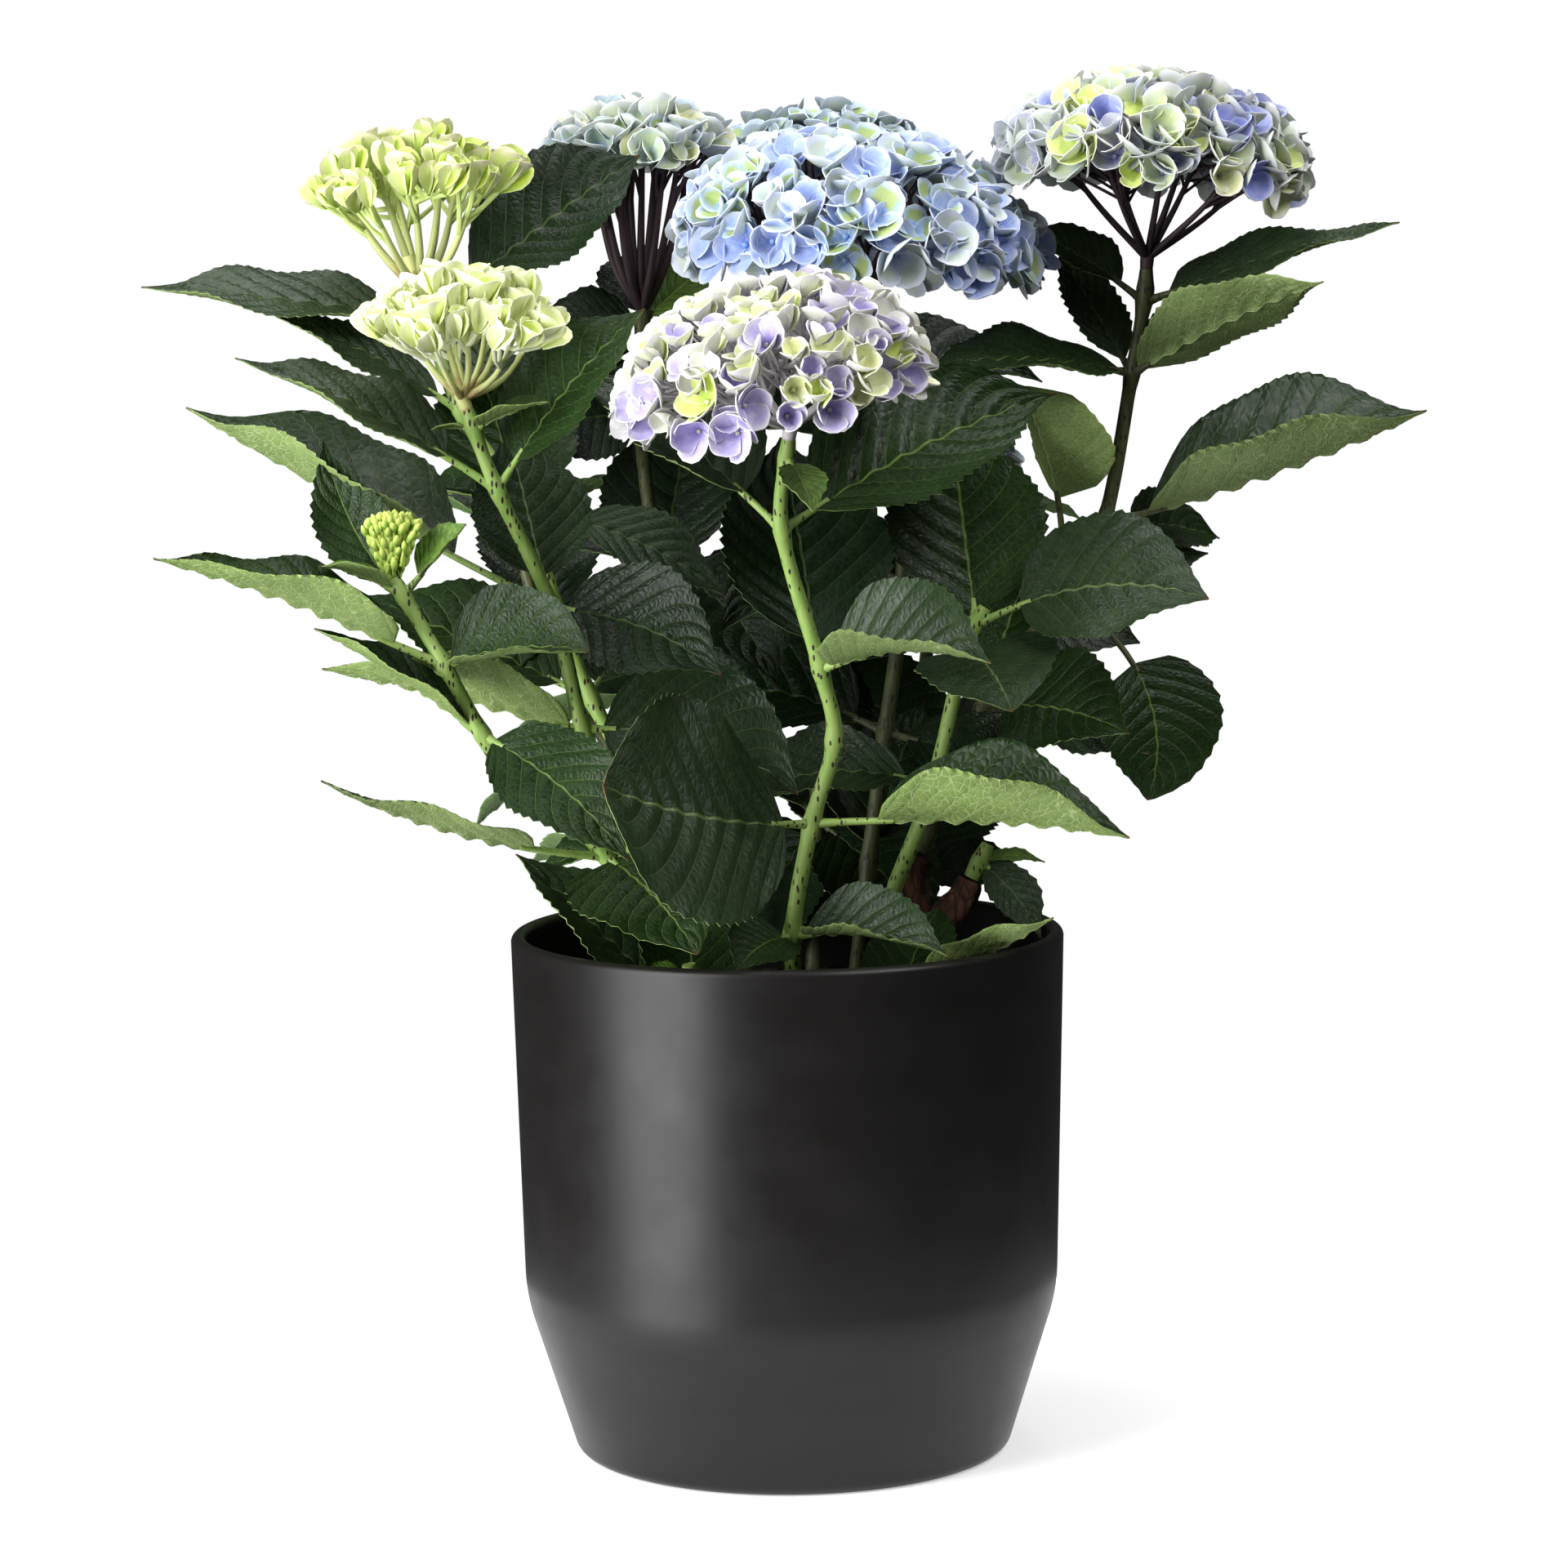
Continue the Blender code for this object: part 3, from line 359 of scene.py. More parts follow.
# Finer sizes, for the looks alone.
MARKS = "pattern"  # the map that leaf and sepal patterns are drawn on: across and along, 0 to 1
TILES = "OFBake"  # the same map, with a tile for each of a piece's materials
TILE_EDGE = 0.01
TOOTH = 4.5  # length of edge that one tooth takes
TOOTH_LEAN = 0.68  # where a tooth's tip lies between two notches
TOOTH_DEPTH = 0.013  # as a share of the blade, on top of half a millimetre
TEETH = (7, 24)  # fewest and most along an edge
COLUMNS = (-1, -0.95, -0.84, -0.72, -0.6, -0.48, -0.36, -0.24, -0.12, -0.04, 0)
COLUMNS += tuple(-value for value in reversed(COLUMNS[:-1]))
VEIN_STEP = 0.115  # from one side vein to the next, as a share of the blade
VEIN_START = 0.35
VEIN_SWEEP = 0.3  # how far a side vein runs towards the tip on its way to the edge
VEIN_SWEEP_POWER = 1.2
QUILT = 0.022  # swelling between veins, as a share of the blade
MIDRIB_DIP = 0.008
FOLD_CURVE = 1.5
WAVE = 0.02
WAVES = (1.9, 2.3)  # how many along the left edge and the right one
BLADE_THICK = 0.45
RIB_THICK = 0.9
SEPAL_THICK = 0.28
SEPAL_LAP = 0.12  # how far a sepal tips to lie over the next
SEPAL_START = 0.25  # from a floret's middle
SEPAL_LONG = (0.92, 1.06)  # shortest and longest, as shares of the floret's size
SEPAL_WIDE = (0.58, 0.68)  # narrowest and widest, as shares of the sepal's length
FLORET_SIZES = (0.6, 1.25)  # least and greatest, as shares of the head's usual one
FLORET_ROOM = 0.8  # share of a floret that leaves and other heads keep clear
FOOT_RADII = (2.5, 2.75, 2.9)
RAY_RADII = (1.75, 0.85)  # at a ray's start and its end
THREAD_RADII = (0.7, 0.55)  # of a floret's own stalk
PIECE_POINTS = 88000  # about where a piece of leaves is full
YOUNG_BLADE = 38  # a shorter leaf is a young, light one
MID_SHARE = 0.72  # of the other front leaves, against the grey ones, whose greyer colour is a painted sheen
# Shoots at the back and inside whose leaves take the dark tone: painted shade.
SHADED_SHOOTS = ("blue", "pale", "grey_blue", "rear_left", "rear_right", "stub")
# Shoots at the back whose stems and leaf stalks take the dark finish: painted shade.
SHADED_STEMS = ("violet", "blue", "pale", "grey_blue", "rear_left", "rear_right")
CAMERA_PLACE = (-0.0005, -1.9, 0.49)
CAMERA_AIM_HEIGHT = 0.267
CAMERA_LENS = 110.6
CAMERA_ROLL = -0.75

# What a flower head has unless it says otherwise: how its florets' size varies, how far they sink
# below the dome, face up, tilt, and hang, open and reach out at the edge, how its sepals bend, and
# its rays: how many, their finish and size, and how they start, bow and end.
HEAD = dict(
    spread=0.14, sink=8, up=0.3, tilt=0.28, hang=0, close=0, slope=0, left_reach=1, curl=40, branches=9,
    rays="dark", stalks="dark", ray_size=0.9, stalk_size=1, ray_depth=0.3, fork=0, bow=-0.03, button_size=1,
    top={}, right={}, left={}, low={},
)
PARTS = ("colours", "top", "right", "left", "low")

# Each flower head's own looks. The chances of colours under top, right, left and low are added to
# the others by how far a floret faces that way.
HEADS = {
    "lilac": dict(
        seed=3, count=140, floret=10.8, spread=0.13, sink=6, up=0.35, open=30, curl=42, rays="lilac",
        stalks="lilac", ray_size=1, button="cream", back="pearl", ray_depth=0.45, hang=2, left_reach=1.1,
        colours={"lavender": 1.3, "pearl": 0.4}, top={"cream": 2.0, "lime_pale": 0.7},
        right={"lavender": 1.5}, left={"pearl": 0.8}, low={"lavender": 1.5},
    ),
    "lime_front": dict(
        seed=4, count=54, floret=12, spread=0.16, sink=7.5, up=1.5, tilt=0.25, open=56, curl=16,
        rays="reddish", stalks="pale", button="lime", button_size=0.9, back="cream_back", hang=9, close=8,
        bow=-0.1, stalk_size=1.4, ray_depth=0.5, colours={"cream_lime": 1.2, "lime_pale": 1.0},
        top={"lime_pale": 0.5},
    ),
    "violet": dict(
        seed=5, count=150, floret=12.6, sink=12.5, tilt=0.3, open=24, curl=46, button="violet",
        button_size=1.1, back="sage_back", ray_depth=0.4, hang=3, slope=0.03,
        colours={"mauve": 0.9, "blue_violet": 0.6, "sage": 1.0, "pearl": 0.4},
        top={"lime_pale": 0.7, "sage": 0.4}, right={"cream": 0.9, "sage": 0.6}, left={"mauve": 0.8},
        low={"blue_violet": 2.0},
    ),
    "lime_back": dict(
        seed=6, count=48, floret=14.4, spread=0.16, sink=11, up=1.7, tilt=0.25, open=60, curl=14,
        branches=8, rays="reddish", stalks="lime", ray_size=1.15, button="lime", button_size=0.9,
        back="rose", hang=11, close=8, bow=-0.1, stalk_size=1.7, fork=-12, ray_depth=0.5, slope=-0.08,
        colours={"lime": 1.4, "lime_pale": 0.2}, top={"lime": 0.8}, low={"lime_pale": 0.3},
    ),
    "blue": dict(
        seed=7, count=165, floret=12.6, spread=0.12, sink=7.5, up=0.2, open=20, button="blue",
        button_size=1.3, back="ice", ray_depth=0.55, hang=3, slope=0.13,
        colours={"sky": 1.2, "sky_lime": 0.8, "ice": 0.35}, top={"sky": 0.3, "ice": 0.3}, left={"ice": 0.4},
    ),
    "pale": dict(
        seed=8, count=58, floret=12.6, up=0.5, open=32, branches=12, ray_size=1.15, button="cream",
        back="sage_back", bow=-0.16, hang=3, fork=-8, stalk_size=1.3, ray_depth=0.5,
        colours={"ice_grey": 1.0, "teal": 0.4, "sage": 0.4, "sky_lime": 0.6},
        top={"lime_pale": 0.4, "cream": 0.6}, low={"sky": 2.5},
    ),
    "grey_blue": dict(
        seed=9, count=66, floret=11, up=0.35, open=24, curl=38, branches=7, button="violet",
        button_size=1.1, back="mauve_back", colours={"teal": 0.6, "sky_lime": 1.0, "mauve": 0.4},
    ),
    "rear_right": dict(
        seed=10, count=40, floret=9, spread=0.1, sink=10, up=0.25, open=24, curl=38, branches=7,
        button="violet", button_size=1.1, back="mauve",
        colours={"blue_violet": 0.8, "mauve": 0.8, "teal": 0.5},
    ),
}
BURNT = (0.11, 0.035, 0.012)


# ---------------------------------------------------------------- the growth rule


def vectors(found):
    return np.array([tuple(point) for point in found])


def unit(found):
    return found / np.linalg.norm(found, axis=-1, keepdims=True)


def smooth_way(points, step=16.0):
    """A Catmull-Rom curve through the points, in millimetres, with a station about every step."""
    points = [Vector(point) for point in points]
    ends = [2 * points[0] - points[1], *points, 2 * points[-1] - points[-2]]
    way = []
    for before, start, end, after in zip(ends, ends[1:], ends[2:], ends[3:]):
        count = max(1, round((end - start).length / step))
        for index in range(count):
            t = index / count
            place = 2 * start + t * (end - before) + t * t * (2 * before - 5 * start + 4 * end - after)
            way.append(0.5 * (place + t**3 * (3 * start - before - 3 * end + after)))
    way.append(points[-1])
    return way


def stem_radii(way):
    """A stem's radius at each point of its way, thinner to its tip."""
    run = np.concatenate([[0], np.cumsum(np.linalg.norm(np.diff(vectors(way), axis=0), axis=1))])
    return STEM_RADIUS + (STEM_TIP_RADIUS - STEM_RADIUS) * run / run[-1]


def spine_frames(root, spec, shares, stepped=False):
    """Points and frames along a leaf's stalk and midrib at shares of its length. Stepped frames are the
    CAD leaf's; the others turn smoothly."""
    length = spec["stalk"] + spec["blade"]
    side, roll = math.radians(spec["side"]), math.radians(spec["roll"])

    def ahead(at):
        rise = np.radians(spec["rise"] - spec["droop"] * at**DROOP_POWER)
        return np.stack([np.cos(rise) * math.cos(side), np.cos(rise) * math.sin(side), np.sin(rise)], -1)

    middles = (np.arange(SPINE_STEPS) + 0.5) / SPINE_STEPS
    way = np.cumsum(ahead(middles) * length / SPINE_STEPS, axis=0)
    way = np.concatenate([np.zeros((1, 3)), way]) + np.array(root)
    shares = np.asarray(shares, float)
    knots = np.linspace(0, 1, SPINE_STEPS + 1)
    points = np.stack([np.interp(shares, knots, way[:, axis]) for axis in range(3)], -1)
    spots = np.minimum(shares * SPINE_STEPS, SPINE_STEPS - 1e-6).astype(int)
    heading = ahead(middles[spots] if stepped else np.clip(shares, 0, 1))
    level = np.array([-math.sin(side), math.cos(side), 0.0])
    left = level * math.cos(roll) + np.cross(heading, level) * math.sin(roll)
    return points, heading, left, np.cross(heading, left)


def leaf_outline(t):
    """Half width of a leaf at t along its blade, as a share of the greatest."""
    return math.sin(math.pi * min(max(t, 0.0), 1.0) ** 0.8) ** 0.8 * (1 - 0.3 * t**4)


def loft(rings, tip=None):
    """Vertices and faces of a closed solid through rings of equally many points, with a tip or a flat end."""
    sides = len(rings[0])
    points = [point for ring in rings for point in ring]
    faces = [tuple(reversed(range(sides)))]
    around = [(side, (side + 1) % sides) for side in range(sides)]
    for low in range(0, len(points) - sides, sides):
        high = low + sides
        faces += [(low + side, low + after, high + after, high + side) for side, after in around]
    last = len(points) - sides
    if tip is None:
        faces.append(tuple(range(last, len(points))))
    else:
        faces += [(last + side, last + after, len(points)) for side, after in around]
        points.append(tip)
    return points, faces


def tube(way, radii, sides=6):
    """A closed tube along a way, with a radius for every station."""
    rings = []
    across = Vector((1, 0, 0))
    turns = [2 * math.pi * side / sides for side in range(sides)]
    for index, point in enumerate(way):
        heading = (way[min(index + 1, len(way) - 1)] - way[max(index - 1, 0)]).normalized()
        across = (across - heading * across.dot(heading)).normalized()
        up = heading.cross(across)
        rings.append([point + radii[index] * (across * math.cos(a) + up * math.sin(a)) for a in turns])
    return loft(rings)


def leaf_solid(root, spec, room=0.0, start=0.0):
    """A folded blade on its stalk, four points round: lower rib, edge, upper rib, other edge."""
    stalk, blade = spec["stalk"], spec["blade"]
    length = stalk + blade
    stalk_share = stalk / length
    shares = [start / length]
    if stalk - start > LONG_STALK:
        shares.append((start / length + stalk_share) / 2)
    if stalk > start + 1:
        shares.append(stalk_share)
    stalk_rings = len(shares)
    stations = [t for t in LEAF_STATIONS if stalk + t * blade > start + 1]
    shares += [stalk_share + (1 - stalk_share) * t for t in stations]
    fold = math.radians(spec["fold"])
    *frames, tip = zip(*spine_frames(root, spec, [*shares, 1.0], stepped=True))
    rings = []
    for index, (point, _, left, up) in enumerate(frames):
        out = thick = STALK_RADIUS + room
        lift = 0.0
        if index >= stalk_rings:
            t = stations[index - stalk_rings]
            width = spec["wide"] * blade / 2 * leaf_outline(t) + room
            out, lift = width * math.cos(fold), width * math.sin(fold)
            thick = LEAF_THICKNESS / 2 * (1.1 - 0.5 * t) + room
        edges = [point - left * out + up * lift, point + left * out + up * lift]
        rings.append([point - up * thick, edges[1], point + up * thick, edges[0]])
    return loft(rings, tip[0] + tip[1] * room)


def dome_point(bloom, lean, polar, turn, inset=0.0):
    """A point of a bloom's dome and its outward direction, from the top of the stem."""
    radius, dome = bloom["radius"] - inset, bloom["dome"] - inset
    centre = bloom["top"] - bloom["dome"]
    out = Vector((math.cos(turn), math.sin(turn), 0))
    place = out * (radius * math.sin(polar)) + Vector((0, 0, centre + dome * math.cos(polar)))
    facing = (out * (math.sin(polar) / radius) + Vector((0, 0, math.cos(polar) / dome))).normalized()
    return lean @ place, lean @ facing


def bloom_lean(bloom):
    side, angle = (math.radians(value) for value in bloom["lean"])
    return Matrix.Rotation(angle, 3, Vector((-math.sin(side), math.cos(side), 0)))


def ray_end(bloom, lean, index, count, inset):
    """Where one of a bloom's rays ends, spread by the golden angle, and how far round that is."""
    polar = math.radians(bloom["reach"] - RAY_INSIDE) * math.sqrt((index + 0.5) / count)
    return dome_point(bloom, lean, polar, index * GOLDEN_ANGLE, inset)[0], polar


def floret_solid(place, facing, radius, twist):
    """Four pointed sepals as a shallow cup on a root that reaches into the bloom's core."""
    across = facing.orthogonal().normalized()
    along = facing.cross(across)
    turns = [twist + index * math.pi / 2 for index in range(4)]
    rim = [place + radius * (across * math.cos(a) + along * math.sin(a)) for a in turns]
    rim = [point + facing * (FLORET_CUP * radius) for point in rim]
    points = [*rim, place - facing * 0.1 * radius, place - facing * FLORET_ROOT]
    faces = [(index, (index + 1) % 4, 4) for index in range(4)]
    return points, faces + [((index + 1) % 4, index, 5) for index in range(4)]


def tree_of(points, faces):
    return BVHTree.FromPolygons([Vector(point) for point in points], faces)


def shoot_ways():
    """Each shoot's smooth way, from just above what it stands on."""
    ways = {}
    for name, places in NODES.items():
        places = [Vector(place) for place in places]
        if name in WOOD_ARMS:
            places[0] += (places[1] - places[0]).normalized() * 2 * GAP
        else:
            places[0].z = SOIL_TOP + GAP
        ways[name] = smooth_way(places)
    return ways


def leaf_root(name, number):
    """Where a node's leaves grow from."""
    root = Vector(NODES[name][number])
    if number == len(NODES[name]) - 1:
        root += (Vector(NODES[name][number - 1]) - root).normalized() * TOP_PAIR_DROP
    return root


def in_way(name, root, spec, stems, obstacles):
    """Whether a shoot's leaf would touch another leaf, a bloom or a stem. Near its node it may."""
    tree = tree_of(*leaf_solid(root, spec, LEAF_ROOM, NODE_FREE))
    if any(tree.overlap(other) for other in obstacles):
        return True, tree
    away = min(STEM_FREE, spec["stalk"] + 0.3 * spec["blade"])
    outer = tree_of(*leaf_solid(root, spec, LEAF_ROOM, away))
    return any((outer if other == name else tree).overlap(stem) for other, stem in stems.items()), tree


def place_leaves(leaves, stems, obstacles, placed):
    """Each leaf in turn, turned or lifted where something is in its way, and left out where nothing helps."""
    for name, own_leaves in leaves.items():
        for number, specs in own_leaves.items():
            root = leaf_root(name, number)
            for spec in specs:
                for turn, lift in GIVE_WAY:
                    tried = dict(spec, side=spec["side"] + turn, rise=spec["rise"] + lift)
                    blocked, tree = in_way(name, root, tried, stems, obstacles)
                    if not blocked:
                        placed[name].append((root, tried))
                        obstacles.append(tree)
                        break


def bloom_body(name, top, heading):
    """A CAD bloom's body: a short foot, a dome-shaped core and rays."""
    bloom = BLOOMS[name]
    lean = bloom_lean(bloom)
    foot = top + heading * GAP
    neck = foot + heading * BLOOM_FOOT
    body = [tube([foot, neck], [STEM_TIP_RADIUS, STEM_TIP_RADIUS * 1.1])]
    inset = CORE_INSET * bloom["floret"]
    rows = [math.radians(bloom["reach"] - CORE_INSIDE) * share for share in CORE_ROWS]
    turns = [2 * math.pi * side / CORE_SIDES for side in range(CORE_SIDES)]

    def ring(row, depth):
        return [foot + dome_point(bloom, lean, row, turn, inset + depth)[0] for turn in turns]

    rings = [ring(row, CORE_DEPTH) for row in rows[:2]] + [ring(row, 0.0) for row in reversed(rows)]
    body.append(loft(rings, foot + dome_point(bloom, lean, 0.0, 0.0, inset)[0]))
    for index in range(RAYS):
        end = foot + ray_end(bloom, lean, index, RAYS, inset + 3)[0]
        start = foot + heading * RAY_START
        knee = start.lerp(end, 0.5) + heading * (RAY_BOW * bloom["top"])
        body.append(tube([start, knee, end], [1.7 * RAY_RADIUS, 1.3 * RAY_RADIUS, RAY_RADIUS], 3))
    return body


# ---------------------------------------------------------------- meshes from arrays


def sheet_faces(rows, cols):
    """Quads of a closed sheet of rows by cols points: its upper side, its lower side and its rim."""
    grid = np.arange(rows * cols).reshape(rows, cols)
    upper = np.stack([grid[:-1, :-1], grid[1:, :-1], grid[1:, 1:], grid[:-1, 1:]], -1).reshape(-1, 4)
    lower = upper[:, [0, 3, 2, 1]] + rows * cols
    loop = np.concatenate([grid[:, 0], grid[-1, 1:], grid[-2::-1, -1], grid[0, -2:0:-1]])
    after = np.roll(loop, -1)
    rim = np.stack([loop, loop + rows * cols, after + rows * cols, after], -1)
    return upper, lower, rim


def ball_template():
    """A cube rounded to a ball: points of length one, and quads."""
    names, quads = {}, []
    for axis in range(3):
        for sign in (-1, 1):
            for row, col in ((-1, -1), (-1, 0), (0, -1), (0, 0)):
                corners = ((row, col), (row + 1, col), (row + 1, col + 1), (row, col + 1))
                spots = [tuple(np.roll((sign, *corner), axis)) for corner in corners]
                quads.append([names.setdefault(spot, len(names)) for spot in spots][::sign])
    points = np.array(list(names), float)
    return points / np.linalg.norm(points, axis=1)[:, None], np.array(quads)


BALL_POINTS, BALL_QUADS = ball_template()


def linked(name, data):
    """A new object in the scene."""
    made = bpy.data.objects.new(name, data)
    bpy.context.scene.collection.objects.link(made)
    return made


class Pile:
    """Quads gathered from many small bodies into one piece, with a pattern map and slot numbers."""

    def __init__(self):
        self.parts = []
        self.count = 0

    def add(self, points, quads, marks, slots):
        self.parts.append((points, quads + self.count, marks, slots))
        self.count += len(points)

    def balls(self, places, sizes, slot, axes=None):
        """Balls at places, each with its three sizes, along axes where given."""
        shapes = BALL_POINTS[None] * sizes[:, None]
        if axes is not None:
            shapes = np.einsum("nvk,nkj->nvj", shapes, axes)
        marks = 0.5 + 0.5 * BALL_POINTS[:, [0, 2]]
        for shape in shapes + places[:, None]:
            self.add(shape, BALL_QUADS, marks, np.full(len(BALL_QUADS), slot))

    def tube(self, way, radii, sides, slot):
        """A closed tube of quads along a way of points."""
        way = np.asarray(way, float)
        heading = unit(np.gradient(way, axis=0))
        across = np.zeros_like(way)
        side = np.array([1.0, 0.0, 0.0]) if abs(heading[0][0]) < 0.9 else np.array([0.0, 1.0, 0.0])
        for index, ahead in enumerate(heading):
            side = unit(side - ahead * side.dot(ahead))
            across[index] = side
        up = np.cross(heading, across)
        turns = (np.arange(sides) * 2 * math.pi / sides)[None, :, None]
        rings = across[:, None] * np.cos(turns) + up[:, None] * np.sin(turns)
        points = (way[:, None] + rings * np.asarray(radii, float)[:, None, None]).reshape(-1, 3)
        grid = np.arange(len(way) * sides).reshape(len(way), sides)
        after = np.roll(grid, -1, axis=1)
        walls = np.stack([grid[:-1], after[:-1], after[1:], grid[1:]], -1).reshape(-1, 4)
        fans = np.array([(0, index, index + 1, index + 2) for index in range(1, sides - 1, 2)])
        quads = np.concatenate([walls, fans[:, ::-1], fans + (len(way) - 1) * sides])
        marks = np.stack(np.meshgrid(np.arange(sides) / sides, np.linspace(0, 1, len(way))), -1)
        self.add(points, quads, marks.reshape(-1, 2), np.full(len(quads), slot))

    def piece(self, name, materials, sharp=55):
        points, quads, marks, slots = (np.concatenate(column) for column in zip(*self.parts))
        mesh = bpy.data.meshes.new(name)
        mesh.vertices.add(len(points))
        mesh.vertices.foreach_set("co", (points * MM).astype(np.float32).ravel())
        mesh.loops.add(quads.size)
        mesh.loops.foreach_set("vertex_index", quads.astype(np.int32).ravel())
        mesh.polygons.add(len(quads))
        mesh.polygons.foreach_set("loop_start", np.arange(0, quads.size, 4, dtype=np.int32))
        mesh.polygons.foreach_set("material_index", slots.astype(np.int32))
        mesh.polygons.foreach_set("use_smooth", np.ones(len(quads), bool))
        spots = marks[quads].reshape(-1, 2)
        tiled = TILE_EDGE + (1 - 2 * TILE_EDGE) * spots
        tiled[:, 0] = (tiled[:, 0] + np.repeat(slots, 4)) / len(materials)
        for layer, own in ((MARKS, spots), (TILES, tiled)):
            mesh.uv_layers.new(name=layer).data.foreach_set("uv", own.astype(np.float32).ravel())
        for finish in materials:
            mesh.materials.append(finish)
        mesh.update(calc_edges=True)
        mesh.validate()
        mesh.set_sharp_from_angle(angle=math.radians(sharp))
        return linked(name, mesh)


def solid_piece(name, solids, finish, sharp):
    """One piece from (points, faces) solids."""
    points, faces = [], []
    for own_points, own_faces in solids:
        start = len(points)
        points += [Vector(point) * MM for point in own_points]
        faces += [tuple(corner + start for corner in face) for face in own_faces]
    mesh = bpy.data.meshes.new(name)
    mesh.from_pydata(points, [], faces)
    mesh.materials.append(finish)
    mesh.update()
    mesh.shade_smooth()
    mesh.set_sharp_from_angle(angle=math.radians(sharp))
    return linked(name, mesh)


def settle(piece, names):
    """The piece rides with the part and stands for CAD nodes."""
    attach(piece, "root")
    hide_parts(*names)


# ---------------------------------------------------------------- materials


class Shade:
    """A Principled material and short calls that add nodes to it."""

    def __init__(self, name, colour, roughness=0.6, specular=0.5):
        self.made = bpy.data.materials.new(name)
        self.made.use_nodes = True
        self.tree = self.made.node_tree
        self.surface = self.tree.nodes["Principled BSDF"].inputs
        self.put(self.surface["Base Color"], colour)
        self.put(self.surface["Roughness"], roughness)
        self.put(self.surface["Specular IOR Level"], specular)

    def put(self, socket, value):
        if isinstance(value, bpy.types.NodeSocket):
            self.tree.links.new(value, socket)
        elif socket.type == "RGBA":
            socket.default_value = (*value, 1)
        else:
            socket.default_value = value

    def node(self, kind, inputs, output=0, **settings):
        made = self.tree.nodes.new("ShaderNode" + kind)
        for key, value in settings.items():
            setattr(made, key, value)
        for key, value in inputs.items():
            self.put(made.inputs[key], value)
        return made.outputs[output]

    def math(self, operation, *values):
        return self.node("Math", dict(enumerate(values)), operation=operation)

    def times(self, first, second):
        return self.math("MULTIPLY", first, second)

    def line(self, value, slope, base):
        return self.math("MULTIPLY_ADD", value, slope, base)

    def ease(self, value, low, high, start=0.0, end=1.0):
        """value mapped smoothly from low..high to start..end."""
        inputs = {"Value": value, "From Min": low, "From Max": high, "To Min": start, "To Max": end}
        return self.node("MapRange", inputs, interpolation_type="SMOOTHSTEP")

    def mix(self, share, first, second):
        return self.node("Mix", {0: share, 6: first, 7: second}, output=2, data_type="RGBA")

    def tint(self, colour, mask, most, other):
        """colour, with up to most of another laid over it by a mask."""
        return self.mix(self.times(mask, most), colour, other)

    def marks(self):
        """The across and along values of the pattern map, and the map itself."""
        uv = self.node("UVMap", {}, uv_map=MARKS)
        across, along = self.node("SeparateXYZ", {0: uv}).node.outputs[:2]
        return across, along, uv

    def off(self, across):
        """How far a place is from the middle line, up to one at the edges."""
        return self.math("ABSOLUTE", self.line(across, 2.0, -1.0))

    def scaled(self, vector, scale):
        return self.node("Mapping", {"Vector": vector, "Scale": scale})

    def place(self, scale=(1, 1, 1)):
        """Object coordinates, scaled."""
        return self.scaled(self.node("TexCoord", {}, output=3), scale)

    def noise(self, vector, scale, detail=3.0, rough=0.55):
        return self.node("TexNoise", {"Vector": vector, "Scale": scale, "Detail": detail, "Roughness": rough})

    def cells(self, vector, scale, feature="DISTANCE_TO_EDGE", output=0):
        return self.node("TexVoronoi", {"Vector": vector, "Scale": scale}, output=output, feature=feature)

    def bump(self, height, strength, distance):
        made = self.node("Bump", {"Height": height, "Strength": strength, "Distance": distance * MM})
        self.put(self.surface["Normal"], made)

    def finish(self, colour, roughness=None):
        self.put(self.surface["Base Color"], colour)
        if roughness is not None:
            self.put(self.surface["Roughness"], roughness)
        return self.made


def leaf_finish(name, base, deep, vein, vein_share, roughness, specular, under=False):
    """A leaf's side: a midrib, side veins that curve to the tip, and a fine net between them."""
    shade = Shade(name, base, roughness, specular)
    across, along, uv = shade.marks()
    off = shade.off(across)
    line = shade.line(shade.math("POWER", off, VEIN_SWEEP_POWER), -VEIN_SWEEP, along)
    turn = shade.math("FRACT", shade.line(line, 1 / VEIN_STEP, 1 + VEIN_START))
    gap = shade.math("MINIMUM", turn, shade.math("SUBTRACT", 1.0, turn))
    side_vein = shade.times(shade.ease(gap, 0.034, 0.0), shade.ease(off, 1.05, 0.5))
    wobble = shade.mix(0.04, uv, shade.node("TexNoise", {"Vector": uv, "Scale": 9.0}, output=1))
    net = shade.cells(shade.scaled(wobble, (0.62, 1, 1)), 34.0)
    share = shade.math("MAXIMUM", shade.times(side_vein, 0.75), shade.ease(off, 0.027, 0.008))
    share = shade.math("MAXIMUM", share, shade.times(shade.ease(net, 0.11, 0.0), 0.5 if under else 0.1))
    mottle = shade.ease(shade.noise(shade.scaled(uv, (1.2, 2.0, 1)), 3.5, 4.0), 0.3, 0.7)
    colour = shade.tint(shade.mix(mottle, base, deep), share, vein_share, vein)
    colour = shade.tint(colour, shade.ease(along, 0.965, 1.0), 0.7, BURNT)
    swell = shade.math("POWER", shade.math("SINE", shade.times(turn, math.pi)), 0.6)
    height = shade.line(net, 0.7, shade.times(swell, 0.8))
    shade.bump(shade.line(share, 0.9 if under else -0.5, height), 0.55, 0.8)
    gloss = shade.ease(shade.noise(uv, 14.0, 2.0), 0.3, 0.7, roughness - 0.06, roughness + 0.08)
    return shade.finish(colour, gloss)


